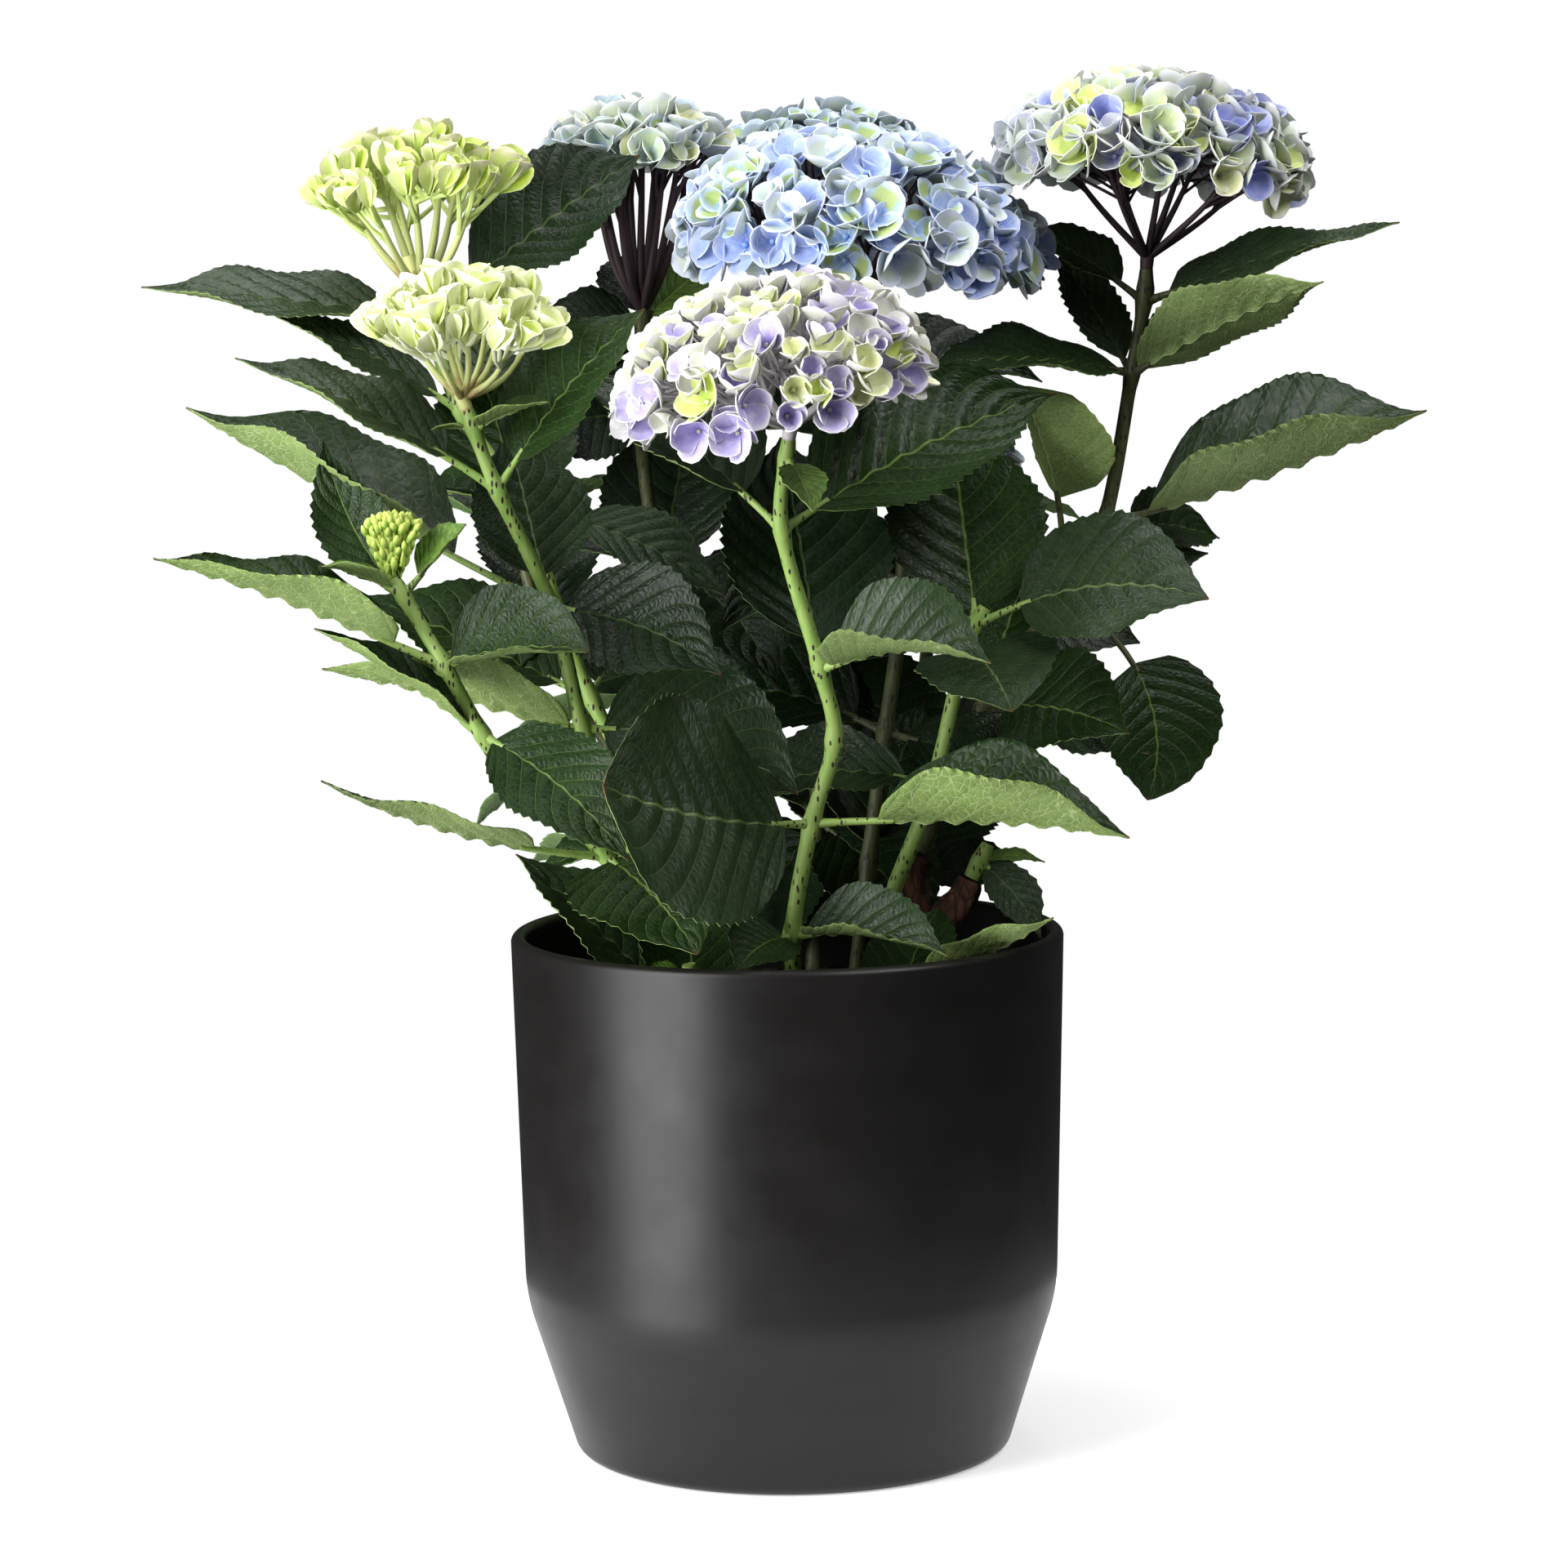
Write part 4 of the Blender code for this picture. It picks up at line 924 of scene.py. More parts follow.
def sepal_finish(name, heart, middle, rim, patch=None, patch_share=0.0):
    """A sepal's finish: its heart, middle and pale rim, fine fan veins and a patch of another colour."""
    shade = Shade(name, middle, 0.62, 0.3)
    across, along, uv = shade.marks()
    off = shade.off(across)
    edge = shade.math("MAXIMUM", shade.math("POWER", off, 1.6), shade.math("POWER", along, 1.5))
    cloud = shade.noise(uv, 4.0, 3.0)
    colour = shade.mix(shade.ease(along, 0.5, 0.06), middle, heart)
    colour = shade.tint(colour, shade.ease(cloud, 0.35, 0.7), 0.35, rim)
    if patch:
        apart = shade.math("ABSOLUTE", shade.math("SUBTRACT", along, 0.62))
        spot = shade.line(cloud, 0.4, shade.ease(apart, 0.40, 0.05, 0.0, 0.6))
        near = shade.times(shade.ease(spot, 0.42, 0.66), shade.ease(off, 0.9, 0.35))
        colour = shade.tint(colour, near, patch_share, patch)
    colour = shade.tint(colour, shade.ease(edge, 0.62, 1.0), 0.85, rim)
    fan = shade.math("DIVIDE", shade.math("SUBTRACT", across, 0.5), shade.math("ADD", along, 0.35))
    lines = shade.ease(shade.math("SINE", shade.times(fan, 62.0)), 0.55, 1.0)
    lines = shade.times(lines, shade.ease(along, 0.95, 0.4))
    shade.bump(shade.line(cloud, 0.6, shade.times(lines, -0.3)), 0.35, 0.6)
    return shade.finish(shade.tint(colour, lines, 0.16, heart))


def stem_finish(name, green, other_green, mark, mark_share):
    """A shoot's skin: fine lengthwise streaks and short dark dashes."""
    shade = Shade(name, green, 0.5, 0.4)
    streaks = shade.noise(shade.place((1, 1, 0.12)), 420.0)
    clouds = shade.noise(shade.place(), 26.0, 2.0)
    colour = shade.mix(shade.ease(streaks, 0.35, 0.65), green, other_green)
    colour = shade.mix(shade.ease(clouds, 0.45, 0.72, 0.0, 0.6), colour, other_green)
    spots = shade.place((1, 1, 0.36))
    near = shade.cells(spots, 600.0, "F1")
    pick = shade.node("SeparateColor", {0: shade.cells(spots, 600.0, "F1", 1)})
    dash = shade.times(shade.ease(near, 0.36, 0.26), shade.ease(pick, 0.40, 0.44))
    shade.bump(shade.line(dash, 0.6, streaks), 0.35, 0.4)
    return shade.finish(shade.tint(colour, dash, mark_share, mark))


def bark_finish():
    shade = Shade("bark", (0.06, 0.03, 0.02), 0.85, 0.3)
    grain = shade.noise(shade.place((1, 1, 0.25)), 300.0, 5.0, 0.65)
    flakes = shade.cells(shade.place((1, 1, 0.4)), 190.0)
    colour = shade.mix(shade.ease(grain, 0.3, 0.7), (0.022, 0.011, 0.008), (0.14, 0.062, 0.035))
    shade.bump(shade.line(flakes, 1.2, grain), 0.9, 1.2)
    return shade.finish(shade.mix(shade.ease(flakes, 0.08, 0.0, 0.0, 0.8), colour, (0.012, 0.007, 0.005)))


def soil_finish():
    shade = Shade("peat", (0.02, 0.012, 0.008), 0.95, 0.2)
    grain = shade.noise(shade.place(), 330.0, 6.0, 0.7)
    bits = shade.cells(shade.place(), 210.0, "F1")
    colour = shade.mix(shade.ease(grain, 0.3, 0.72), (0.008, 0.005, 0.003), (0.05, 0.03, 0.018))
    shade.bump(shade.math("ADD", grain, bits), 0.9, 2.0)
    return shade.finish(shade.mix(shade.ease(bits, 0.16, 0.05, 0.0, 0.5), colour, (0.12, 0.08, 0.045)))


def pot_finish():
    shade = Shade("matte_black_glaze", (0.0075, 0.0068, 0.0065), 0.37, 0.30)
    fine = shade.noise(shade.place(), 900.0)
    rings = shade.noise(shade.place((0.35, 0.35, 1)), 55.0)
    colour = shade.mix(shade.ease(rings, 0.35, 0.65), (0.0068, 0.0061, 0.0058), (0.0085, 0.0077, 0.0074))
    gloss = shade.ease(shade.noise(shade.place(), 38.0, 4.0), 0.3, 0.7, 0.34, 0.41)
    shade.bump(shade.line(rings, 0.35, fine), 0.06, 0.25)
    return shade.finish(colour, gloss)


def bud_finish():
    shade = Shade("lime_buds", (0.47, 0.62, 0.09), 0.55, 0.35)
    _, along, uv = shade.marks()
    colour = shade.mix(shade.ease(along, 0.2, 0.9), (0.26, 0.44, 0.05), (0.62, 0.74, 0.16))
    return shade.finish(shade.tint(colour, shade.ease(shade.noise(uv, 5.0), 0.4, 0.7), 0.35, (0.7, 0.8, 0.3)))


def ray_finish(name, colour, other):
    shade = Shade(name, colour, 0.55, 0.35)
    _, along, uv = shade.marks()
    cloud = shade.line(shade.noise(uv, 6.0), 0.5, shade.times(along, 0.7))
    return shade.finish(shade.mix(shade.ease(cloud, 0.22, 0.5), colour, other))


def button_finish(name, colour, top):
    shade = Shade(name, colour, 0.5, 0.4)
    along = shade.marks()[1]
    return shade.finish(shade.mix(shade.ease(along, 0.35, 0.9), colour, top))


def leaf_sides(name, upper, lower):
    return [leaf_finish(name, *upper), leaf_finish(name + "_under", *lower, under=True)]


def finish_each(make, prefix, table):
    """A finish for every row of a table, named after it."""
    return {name: make(prefix + name, *values) for name, values in table.items()}


# Heart, middle, rim, and for some a patch of another colour and its share.
SEPALS = finish_each(sepal_finish, "sepal_", {
    "sky": ((0.15, 0.23, 0.64), (0.33, 0.43, 0.78), (0.68, 0.74, 0.88)),
    "sky_lime": ((0.17, 0.30, 0.62), (0.38, 0.52, 0.76), (0.70, 0.78, 0.82), (0.40, 0.50, 0.12), 0.9),
    "ice": ((0.36, 0.44, 0.70), (0.58, 0.65, 0.82), (0.80, 0.83, 0.90), (0.52, 0.61, 0.30), 0.5),
    "ice_grey": ((0.30, 0.41, 0.54), (0.52, 0.62, 0.62), (0.78, 0.83, 0.79), (0.56, 0.64, 0.30), 0.6),
    "lavender": ((0.30, 0.24, 0.60), (0.47, 0.42, 0.72), (0.84, 0.81, 0.82)),
    "mauve": ((0.20, 0.20, 0.42), (0.38, 0.39, 0.56), (0.68, 0.71, 0.74), (0.46, 0.53, 0.34), 0.6),
    "cream": ((0.56, 0.62, 0.26), (0.78, 0.79, 0.50), (0.84, 0.84, 0.72), (0.66, 0.73, 0.32), 0.5),
    "pearl": ((0.50, 0.47, 0.66), (0.70, 0.68, 0.70), (0.81, 0.80, 0.77), (0.70, 0.76, 0.50), 0.5),
    "lime": ((0.36, 0.54, 0.03), (0.60, 0.78, 0.08), (0.78, 0.85, 0.36)),
    "lime_pale": ((0.50, 0.68, 0.10), (0.76, 0.88, 0.26), (0.88, 0.91, 0.60)),
    "cream_lime": ((0.66, 0.80, 0.20), (0.84, 0.90, 0.44), (0.91, 0.92, 0.68)),
    "sage": ((0.32, 0.40, 0.36), (0.54, 0.62, 0.54), (0.78, 0.82, 0.75), (0.60, 0.68, 0.28), 0.5),
    "teal": ((0.17, 0.27, 0.44), (0.32, 0.43, 0.55), (0.60, 0.68, 0.73), (0.42, 0.50, 0.26), 0.6),
    "blue_violet": ((0.16, 0.19, 0.56), (0.30, 0.34, 0.72), (0.62, 0.66, 0.84)),
    "rose": ((0.50, 0.68, 0.10), (0.71, 0.80, 0.32), (0.85, 0.75, 0.64), (0.62, 0.78, 0.20), 0.4),
    "cream_back": ((0.64, 0.77, 0.20), (0.84, 0.90, 0.46), (0.92, 0.93, 0.74)),
    "sage_back": ((0.40, 0.42, 0.52), (0.58, 0.61, 0.64), (0.80, 0.81, 0.80), (0.60, 0.67, 0.42), 0.5),
    "mauve_back": ((0.16, 0.20, 0.34), (0.30, 0.36, 0.46), (0.55, 0.60, 0.64), (0.42, 0.50, 0.34), 0.6),
})

# The colour at the start, and the one further out or at the top.
RAY_FINISHES = finish_each(ray_finish, "rays_", {
    "lime": ((0.40, 0.52, 0.14), (0.66, 0.78, 0.28)),
    "pale": ((0.70, 0.76, 0.48), (0.78, 0.82, 0.58)),
    "reddish": ((0.30, 0.13, 0.06), (0.52, 0.56, 0.22)),
    "lilac": ((0.40, 0.34, 0.42), (0.60, 0.56, 0.58)),
    "dark": ((0.022, 0.012, 0.018), (0.06, 0.035, 0.04)),
})
BUTTONS = finish_each(button_finish, "button_", {
    "blue": ((0.20, 0.32, 0.66), (0.36, 0.50, 0.80)),
    "violet": ((0.22, 0.18, 0.44), (0.44, 0.44, 0.60)),
    "lime": ((0.36, 0.50, 0.08), (0.60, 0.70, 0.24)),
    "cream": ((0.52, 0.56, 0.40), (0.80, 0.80, 0.60)),
})

# Each tone of leaf above and below: its colour, where it is deeper, its veins' colour and share,
# roughness and specular. The dark tone is the leaf painted darker as shade, for leaves at the back,
# inside and in shadow; the grey tone is the leaf painted lighter and greyer as a sheen.
TONES = finish_each(leaf_sides, "leaf_", {
    "dark": (
        ((0.006, 0.017, 0.005), (0.004, 0.010, 0.003), (0.07, 0.12, 0.03), 0.5, 0.38, 0.20),
        ((0.12, 0.20, 0.07), (0.09, 0.16, 0.05), (0.24, 0.34, 0.13), 0.8, 0.62, 0.3),
    ),
    "mid": (
        ((0.014, 0.036, 0.008), (0.008, 0.023, 0.005), (0.17, 0.26, 0.06), 0.68, 0.38, 0.22),
        ((0.22, 0.32, 0.085), (0.165, 0.255, 0.065), (0.46, 0.56, 0.26), 1.0, 0.55, 0.3),
    ),
    "grey": (
        ((0.022, 0.042, 0.016), (0.013, 0.028, 0.010), (0.15, 0.22, 0.07), 0.62, 0.38, 0.26),
        ((0.22, 0.31, 0.10), (0.165, 0.245, 0.075), (0.40, 0.49, 0.23), 0.9, 0.6, 0.3),
    ),
    "young": (
        ((0.13, 0.24, 0.03), (0.07, 0.15, 0.02), (0.42, 0.54, 0.14), 0.8, 0.42, 0.5),
        ((0.30, 0.42, 0.13), (0.24, 0.36, 0.10), (0.45, 0.56, 0.24), 0.8, 0.6, 0.3),
    ),
})
# The light finish is the shoots' own green; the dark one is the same skin painted darker as shade.
STEMS = {
    "light": stem_finish("shoot_green", (0.19, 0.33, 0.065), (0.27, 0.38, 0.10), (0.03, 0.01, 0.012), 1.0),
    "dark": stem_finish("shoot_painted_shade", (0.045, 0.055, 0.022), (0.09, 0.10, 0.035), (0.02, 0.009, 0.01), 0.8),
}
PEAT = soil_finish()


# ---------------------------------------------------------------- leaves


def fine_outline(t, wide, peak):
    """The CAD leaf's half width, drawn out to a finer tip, and rounder where the leaf is wide.
    A peak over one sets the widest place nearer the tip."""
    t = np.clip(t, 0, 1) ** peak
    full = min(max((wide - 0.7) / 0.4, 0.0), 1.0)
    spread = np.sin(np.pi * t**0.8) ** (0.78 - 0.3 * full + 0.25 * t**2 * (1 - full)) * (1 - 0.3 * t**4)
    return spread * (1 - 0.3 * np.clip((t - 0.8) / 0.2, 0, 1) ** 1.2)


def finer(spec):
    """A leaf's spec with what its finer form changes."""
    return spec | {key: spec[key] + change for key, change in spec["fine"].items() if key in spec}


def ends_fade(t, pace):
    """One along a blade, and down to nothing at both its ends."""
    return np.clip(pace * t, 0, 1) * np.clip(pace * (1 - t), 0, 1)


def fine_leaf(pile, root, spec, rng):
    """A serrated blade, folded and quilted between its veins, thin, with a raised rib below."""
    stalk, blade = spec["stalk"], spec["blade"]
    teeth = int(np.clip(round(blade / TOOTH), *TEETH))
    tooth = np.arange(teeth)
    along = np.sort(np.concatenate([[0.0], (tooth + TOOTH_LEAN) / teeth, (tooth + 1.0) / teeth]))
    is_tip = np.arange(len(along)) % 2 == 1
    points, _, left, up = spine_frames(root, spec, (stalk + along * blade) / (stalk + blade))
    width = spec["wide"] * blade / 2 * fine_outline(along, spec["wide"], spec["fine"].get("peak", 1.0))
    width[0] = STALK_RADIUS * 0.9
    width = np.maximum(width, 0.3)
    bite = (TOOTH_DEPTH * blade + 0.5) * np.minimum(1, 3.5 * np.minimum(along, 1.03 - along))
    bite = np.maximum(np.where(is_tip, 0.3, -0.7) * bite, 0.3 - width)
    fold = math.radians(spec["fold"])
    v, t = np.meshgrid(COLUMNS, along)
    off = np.abs(v)
    out = v * width[:, None] * math.cos(fold) + np.sign(v) * bite[:, None] * off**9
    lift = off**FOLD_CURVE * width[:, None] * math.sin(fold)
    turn = (t - VEIN_SWEEP * off**VEIN_SWEEP_POWER) / VEIN_STEP + VEIN_START
    lift -= QUILT * blade * 0.5 * np.cos(2 * np.pi * turn) * (1 - off**3) * ends_fade(t, 6)
    lift -= MIDRIB_DIP * blade * np.exp(-((off / 0.08) ** 2)) * (1 - t) * np.clip(8 * t, 0, 1)
    phases = rng.uniform(0, 2 * math.pi, 2)
    wave = np.sin(2 * math.pi * np.where(v > 0, *WAVES) * t + np.where(v > 0, *phases))
    lift += WAVE * blade * off**2.5 * wave * ends_fade(t, 5)
    top = points[:, None] + left[:, None] * out[..., None] + up[:, None] * lift[..., None]
    thick = BLADE_THICK + RIB_THICK * np.exp(-((off / 0.05) ** 2)) * (1 - 0.85 * t)
    thick = thick * np.where(off > 0.99, 0.5, 1.0)
    bottom = top - up[:, None] * thick[..., None]
    upper, lower, rim = sheet_faces(len(along), len(COLUMNS))
    marks = np.stack([0.5 + 0.5 * v, t], -1).reshape(-1, 2)
    pile.add(
        np.concatenate([top.reshape(-1, 3), bottom.reshape(-1, 3)]),
        np.concatenate([upper, lower, rim]),
        np.concatenate([marks, marks]),
        np.concatenate([np.zeros(len(upper)), np.ones(len(lower) + len(rim))]),
    )


def leaf_tone(shoot, spec, rng):
    """Young, small leaves are light; those at the back and inside take the dark tone, painted shade."""
    if spec["blade"] < YOUNG_BLADE:
        return "young"
    if shoot in SHADED_SHOOTS:
        return "dark"
    return "mid" if rng.uniform() < MID_SHARE else "grey"


def grow_leaves(placed):
    """Every leaf blade, in pieces by tone."""
    piles = {}
    rng = np.random.default_rng(41)
    for shoot, found in placed.items():
        for root, spec in found:
            tone = spec["fine"].get("tone") or leaf_tone(shoot, spec, rng)
            number = 1
            while (tone, number) in piles and piles[tone, number].count > PIECE_POINTS:
                number += 1
            fine_leaf(piles.setdefault((tone, number), Pile()), root, finer(spec), rng)
    return [pile.piece("leaves_%s_%d" % key, TONES[key[0]], sharp=60) for key, pile in piles.items()]


# ---------------------------------------------------------------- florets


def sepal_grid():
    """Shares along and across a sepal, and its half width."""
    along = np.array([0.0, 0.16, 0.36, 0.57, 0.76, 0.91, 1.0])
    width = (np.clip(along, 0.03, 1) ** 0.6) * (1 - np.clip(along, 0, 0.99) ** 3.2) ** 0.6
    return along, np.linspace(-1, 1, 7), width / width.max()


SEPAL_ALONG, SEPAL_ACROSS, SEPAL_WIDTH = sepal_grid()


def add_sepals(pile, sepals):
    """Sepals as thin closed sheets, all at once. Those of a floret share one bowl, so they lap smoothly."""
    *places, length, wide, slots, rise, curl, ripple = zip(*sepals)
    centre, facing, around = (vectors(found)[:, None, None] for found in places)
    length, wide, rise, curl, ripple = (np.array(own)[:, None] for own in (length, wide, rise, curl, ripple))
    side = np.cross(facing, around)
    angle = rise + curl * SEPAL_ALONG
    step = np.diff(SEPAL_ALONG) * length
    between = (angle[:, 1:] + angle[:, :-1]) / 2
    start = np.zeros((len(length), 1))
    reach = np.hstack([start, np.cumsum(step * np.cos(between), axis=1)])[..., None] + SEPAL_START
    height = np.hstack([start, np.cumsum(step * np.sin(between), axis=1)])[..., None]
    half = (wide * SEPAL_WIDTH)[..., None] * SEPAL_ACROSS
    turn = np.clip(half / (reach + 0.12 * length[..., None]), -1.1, 1.1)
    flat = half - reach * np.sin(turn)
    out = around * np.cos(turn)[..., None] + side * np.sin(turn)[..., None]
    normal = facing * np.cos(angle)[..., None, None] - out * np.sin(angle)[..., None, None]
    top = centre + out * reach[..., None] + side * (0.5 * flat)[..., None] + facing * height[..., None]
    waves = np.sin(9 * SEPAL_ALONG + 50 * ripple)[..., None]
    bend = SEPAL_LAP * half + ripple[..., None] * np.abs(SEPAL_ACROSS) ** 3 * waves
    top = top + normal * bend[..., None]
    bottom = top - normal * SEPAL_THICK
    upper, lower, rim = sheet_faces(len(SEPAL_ALONG), len(SEPAL_ACROSS))
    quads = np.concatenate([upper, lower, rim])[:, ::-1]
    marks = np.stack(np.meshgrid(0.5 + 0.5 * SEPAL_ACROSS, SEPAL_ALONG), -1).reshape(-1, 2)
    marks = np.concatenate([marks, marks])
    under = np.zeros(len(quads), bool)
    under[len(upper) : len(upper) + len(lower)] = True
    for above, below, (colour, back) in zip(top, bottom, slots):
        points = np.concatenate([above.reshape(-1, 3), below.reshape(-1, 3)])
        pile.add(points, quads, marks, np.where(under, back, colour))


def floret_places(name, rng):
    """Where a flower head's florets sit: by the golden angle over its dome, a little uneven."""
    bloom, look = BLOOMS[name], HEAD | HEADS[name]
    lean = bloom_lean(bloom)
    low = math.cos(math.radians(bloom["reach"]))
    found = []
    for index in range(look["count"]):
        polar = math.acos(1 - (1 - low) * (index + 0.5) / look["count"])
        turn = index * GOLDEN_ANGLE + rng.uniform(-0.1, 0.1)
        place, facing = dome_point(bloom, lean, polar, turn)
        place = place - facing * rng.uniform(look["sink"] - 4.5, look["sink"])
        place.z -= look["hang"] * math.sin(polar) ** 2 * rng.uniform(0.3, 1.0) + look["slope"] * place.x
        place.x *= look["left_reach"] if place.x < 0 else 1.0
        tilt = Vector(rng.normal(0, look["tilt"], 3))
        facing = (facing + tilt + Vector((0, 0, look["up"]))).normalized()
        found.append((place, facing, polar))
    return found


def floret_colour(look, facing, palette, rng):
    """One of the head's colours, by the chances of its parts for a floret that faces this way."""
    weights = dict(look["colours"])
    for part, share in zip(PARTS[1:], (facing.z, facing.x, -facing.x, -facing.z)):
        for name, extra in look[part].items():
            weights[name] = weights.get(name, 0.0) + extra * max(0.0, share)
    share = np.array(list(weights.values()), float)
    return palette.index(list(weights)[rng.choice(len(weights), p=share / share.sum())])


def grow_rays(pile, look, bloom, foot, heading, slot):
    """A flower head's foot and the rays from it. Gives the rays' ways."""
    base = [foot + heading * height for height in (-1.5, 2.5, BLOOM_FOOT)]
    pile.tube(base, FOOT_RADII, 10, slot)
    lean = bloom_lean(bloom)
    ways = []
    for index in range(look["branches"]):
        place, polar = ray_end(bloom, lean, index, look["branches"], look["ray_depth"] * bloom["dome"])
        end = foot + place
        end.z -= 0.7 * look["hang"] * math.sin(polar) ** 2
        start = foot + heading * (RAY_START + look["fork"])
        knee = start.lerp(end, 0.5) + heading * (look["bow"] * bloom["top"])
        ways.append(smooth_way([start, knee, end], 4.0))
        radii = np.linspace(*RAY_RADII, len(ways[-1])) * look["ray_size"]
        pile.tube(vectors(ways[-1]), radii, 8, slot)
    return ways


def grow_head(name, top, heading, blocked):
    """A flower head: rays from the stem's top, stalks that branch from them and a floret on each."""
    bloom, look = BLOOMS[name], HEAD | HEADS[name]
    rng = np.random.default_rng(look["seed"])
    foot = top + heading * GAP
    pile = Pile()
    palette = list(dict.fromkeys(colour for part in PARTS for colour in look[part]))
    finishes = [SEPALS[colour] for colour in [*palette, look["back"]]]
    finishes += [RAY_FINISHES[look["rays"]], RAY_FINISHES[look["stalks"]], BUTTONS[look["button"]]]
    back, ray_slot, stalk_slot, button_slot = range(len(palette), len(finishes))
    ways = grow_rays(pile, look, bloom, foot, heading, ray_slot)
    sepals, hearts = [], []
    for place, out, polar in floret_places(name, rng):
        size = look["floret"] * float(np.clip(rng.normal(1.0, look["spread"]), *FLORET_SIZES))
        spot = foot + place
        tree = tree_of(*floret_solid(spot, out, FLORET_ROOM * size, rng.uniform(0, math.pi)))
        if any(tree.overlap(other) for other in blocked):
            continue
        first = out.orthogonal().normalized()
        second = out.cross(first)
        twist = rng.uniform(0, math.pi)
        colour = floret_colour(look, out, palette, rng)
        open_angle = rng.normal(look["open"] + look["close"] * math.sin(polar), 6.0)
        for index in range(4):
            a = twist + index * math.pi / 2 + rng.normal(0, 0.07)
            around = first * math.cos(a) + second * math.sin(a)
            own = size * rng.uniform(*SEPAL_LONG)
            wide = own * rng.uniform(*SEPAL_WIDE)
            rise = math.radians(open_angle + rng.normal(0, 4.0))
            curl = math.radians(look["curl"] + rng.normal(0, 9.0))
            sepals.append((spot, out, around, own, wide, (colour, back), rise, curl, rng.uniform(0.1, 0.5)))
        hearts.append(spot + out)
        way = min(ways, key=lambda way: (way[-1] - spot).length)
        branch = way[int(len(way) * rng.uniform(0.5, 0.9))]
        bend = branch.lerp(spot, 0.55) + (spot - foot).normalized() * 1.5 - out * 2.5
        stalk = smooth_way([branch, bend, spot - out * 0.2], 7.0)
        radii = np.linspace(*THREAD_RADII, len(stalk)) * look["stalk_size"]
        pile.tube(vectors(stalk), radii, 6, stalk_slot)
    add_sepals(pile, sepals)
    sizes = np.full((len(hearts), 3), look["button_size"]) * rng.uniform(0.85, 1.15, (len(hearts), 1))
    pile.balls(vectors(hearts), sizes, button_slot)
    settle(pile.piece("head_" + name, finishes), ["bloom_" + name])


# ---------------------------------------------------------------- stems, pot, soil, wood and bud


def stalk_line(root, spec):
    """A leaf stalk's way and radii: wider where it clasps the stem, running on into the midrib."""
    length = spec["stalk"] + spec["blade"]
    reach = spec["stalk"] + 0.06 * spec["blade"]
    run = np.linspace(0, reach / length, max(4, round(reach / 4))) * length
    points, _, _, up = spine_frames(root, spec, run / length)
    slim = STALK_RADIUS * (0.75 + 0.25 * min(1.0, spec["blade"] / 70))
    radii = slim * (1 + 0.55 * np.exp(-((run / 4) ** 2)) - 0.25 * run / reach)
    return points - up * (0.7 * np.clip(run / max(spec["stalk"], 1), 0, 1))[:, None], radii


def grow_stems(placed, ways):
    """Shoots with swollen nodes, and leaf stalks, in a pale piece and a dark one whose colour is painted
    shade.
    """
    pieces = []
    for shade, finish in STEMS.items():
        pile = Pile()
        for name, way in ways.items():
            if (name in SHADED_STEMS) != (shade == "dark"):
                continue
            fine = vectors(smooth_way([way[0], *NODES[name][1:]], 4.0))
            radii = stem_radii(fine)
            for number in range(1, len(NODES[name])):
                apart = np.linalg.norm(fine - np.array(leaf_root(name, number)), axis=1)
                radii = radii + NODE_SWELL * np.exp(-((apart / NODE_REACH) ** 2))
            pile.tube(fine, radii, 12, 0)
            for root, spec in placed[name]:
                pile.tube(*stalk_line(root, finer(spec)), 8, 0)
        pieces.append(pile.piece("stems_" + shade, [finish]))
    return pieces


def arc(centre, radius, start, end, count):
    """Points of an arc in the turned profile's plane, from one angle to another."""
    angles = [math.radians(start + (end - start) * index / (count - 1)) for index in range(count)]
    return [(centre[0] + radius * math.cos(a), centre[1] + radius * math.sin(a)) for a in angles]


def make_pot():
    """The pot's turned body, finely stepped."""
    lip = POT_WALL / 2
    slope = math.atan2(POT_BREAK_HEIGHT, POT_BREAK_RADIUS - POT_FOOT_RADIUS)
    rise = POT_HEIGHT - POT_BREAK_HEIGHT
    soft = POT_BREAK_SOFT
    profile = [(0.5 * POT_FOOT_RADIUS, 0.0)]
    centre = (POT_FOOT_RADIUS - POT_FOOT_ROUND, POT_FOOT_ROUND)
    profile += arc(centre, POT_FOOT_ROUND, -90, math.degrees(slope) - 90, 9)
    knee = Vector((POT_BREAK_RADIUS, POT_BREAK_HEIGHT))
    start = knee - soft * Vector((math.cos(slope), math.sin(slope)))
    end = knee + soft * Vector(((POT_RIM_RADIUS - POT_BREAK_RADIUS) / rise, 1))
    for index in range(9):
        t = index / 8
        profile.append(tuple(start * (1 - t) ** 2 + knee * 2 * t * (1 - t) + end * t**2))
    profile += arc((POT_RIM_RADIUS - lip, POT_HEIGHT - lip), lip, 0, 180, 17)
    profile.append((POT_BREAK_RADIUS - POT_WALL, POT_BREAK_HEIGHT + soft))
    profile.append((POT_FOOT_RADIUS - POT_WALL, POT_FLOOR))
    turns = [2 * math.pi * side / POT_SIDES for side in range(POT_SIDES)]
    rings = [[Vector((r * math.cos(a), r * math.sin(a), z)) for a in turns] for r, z in profile]
    solid = loft(rings, Vector((0, 0, POT_FLOOR)))
    settle(solid_piece("pot_body", [solid], pot_finish(), sharp=40), ["pot"])


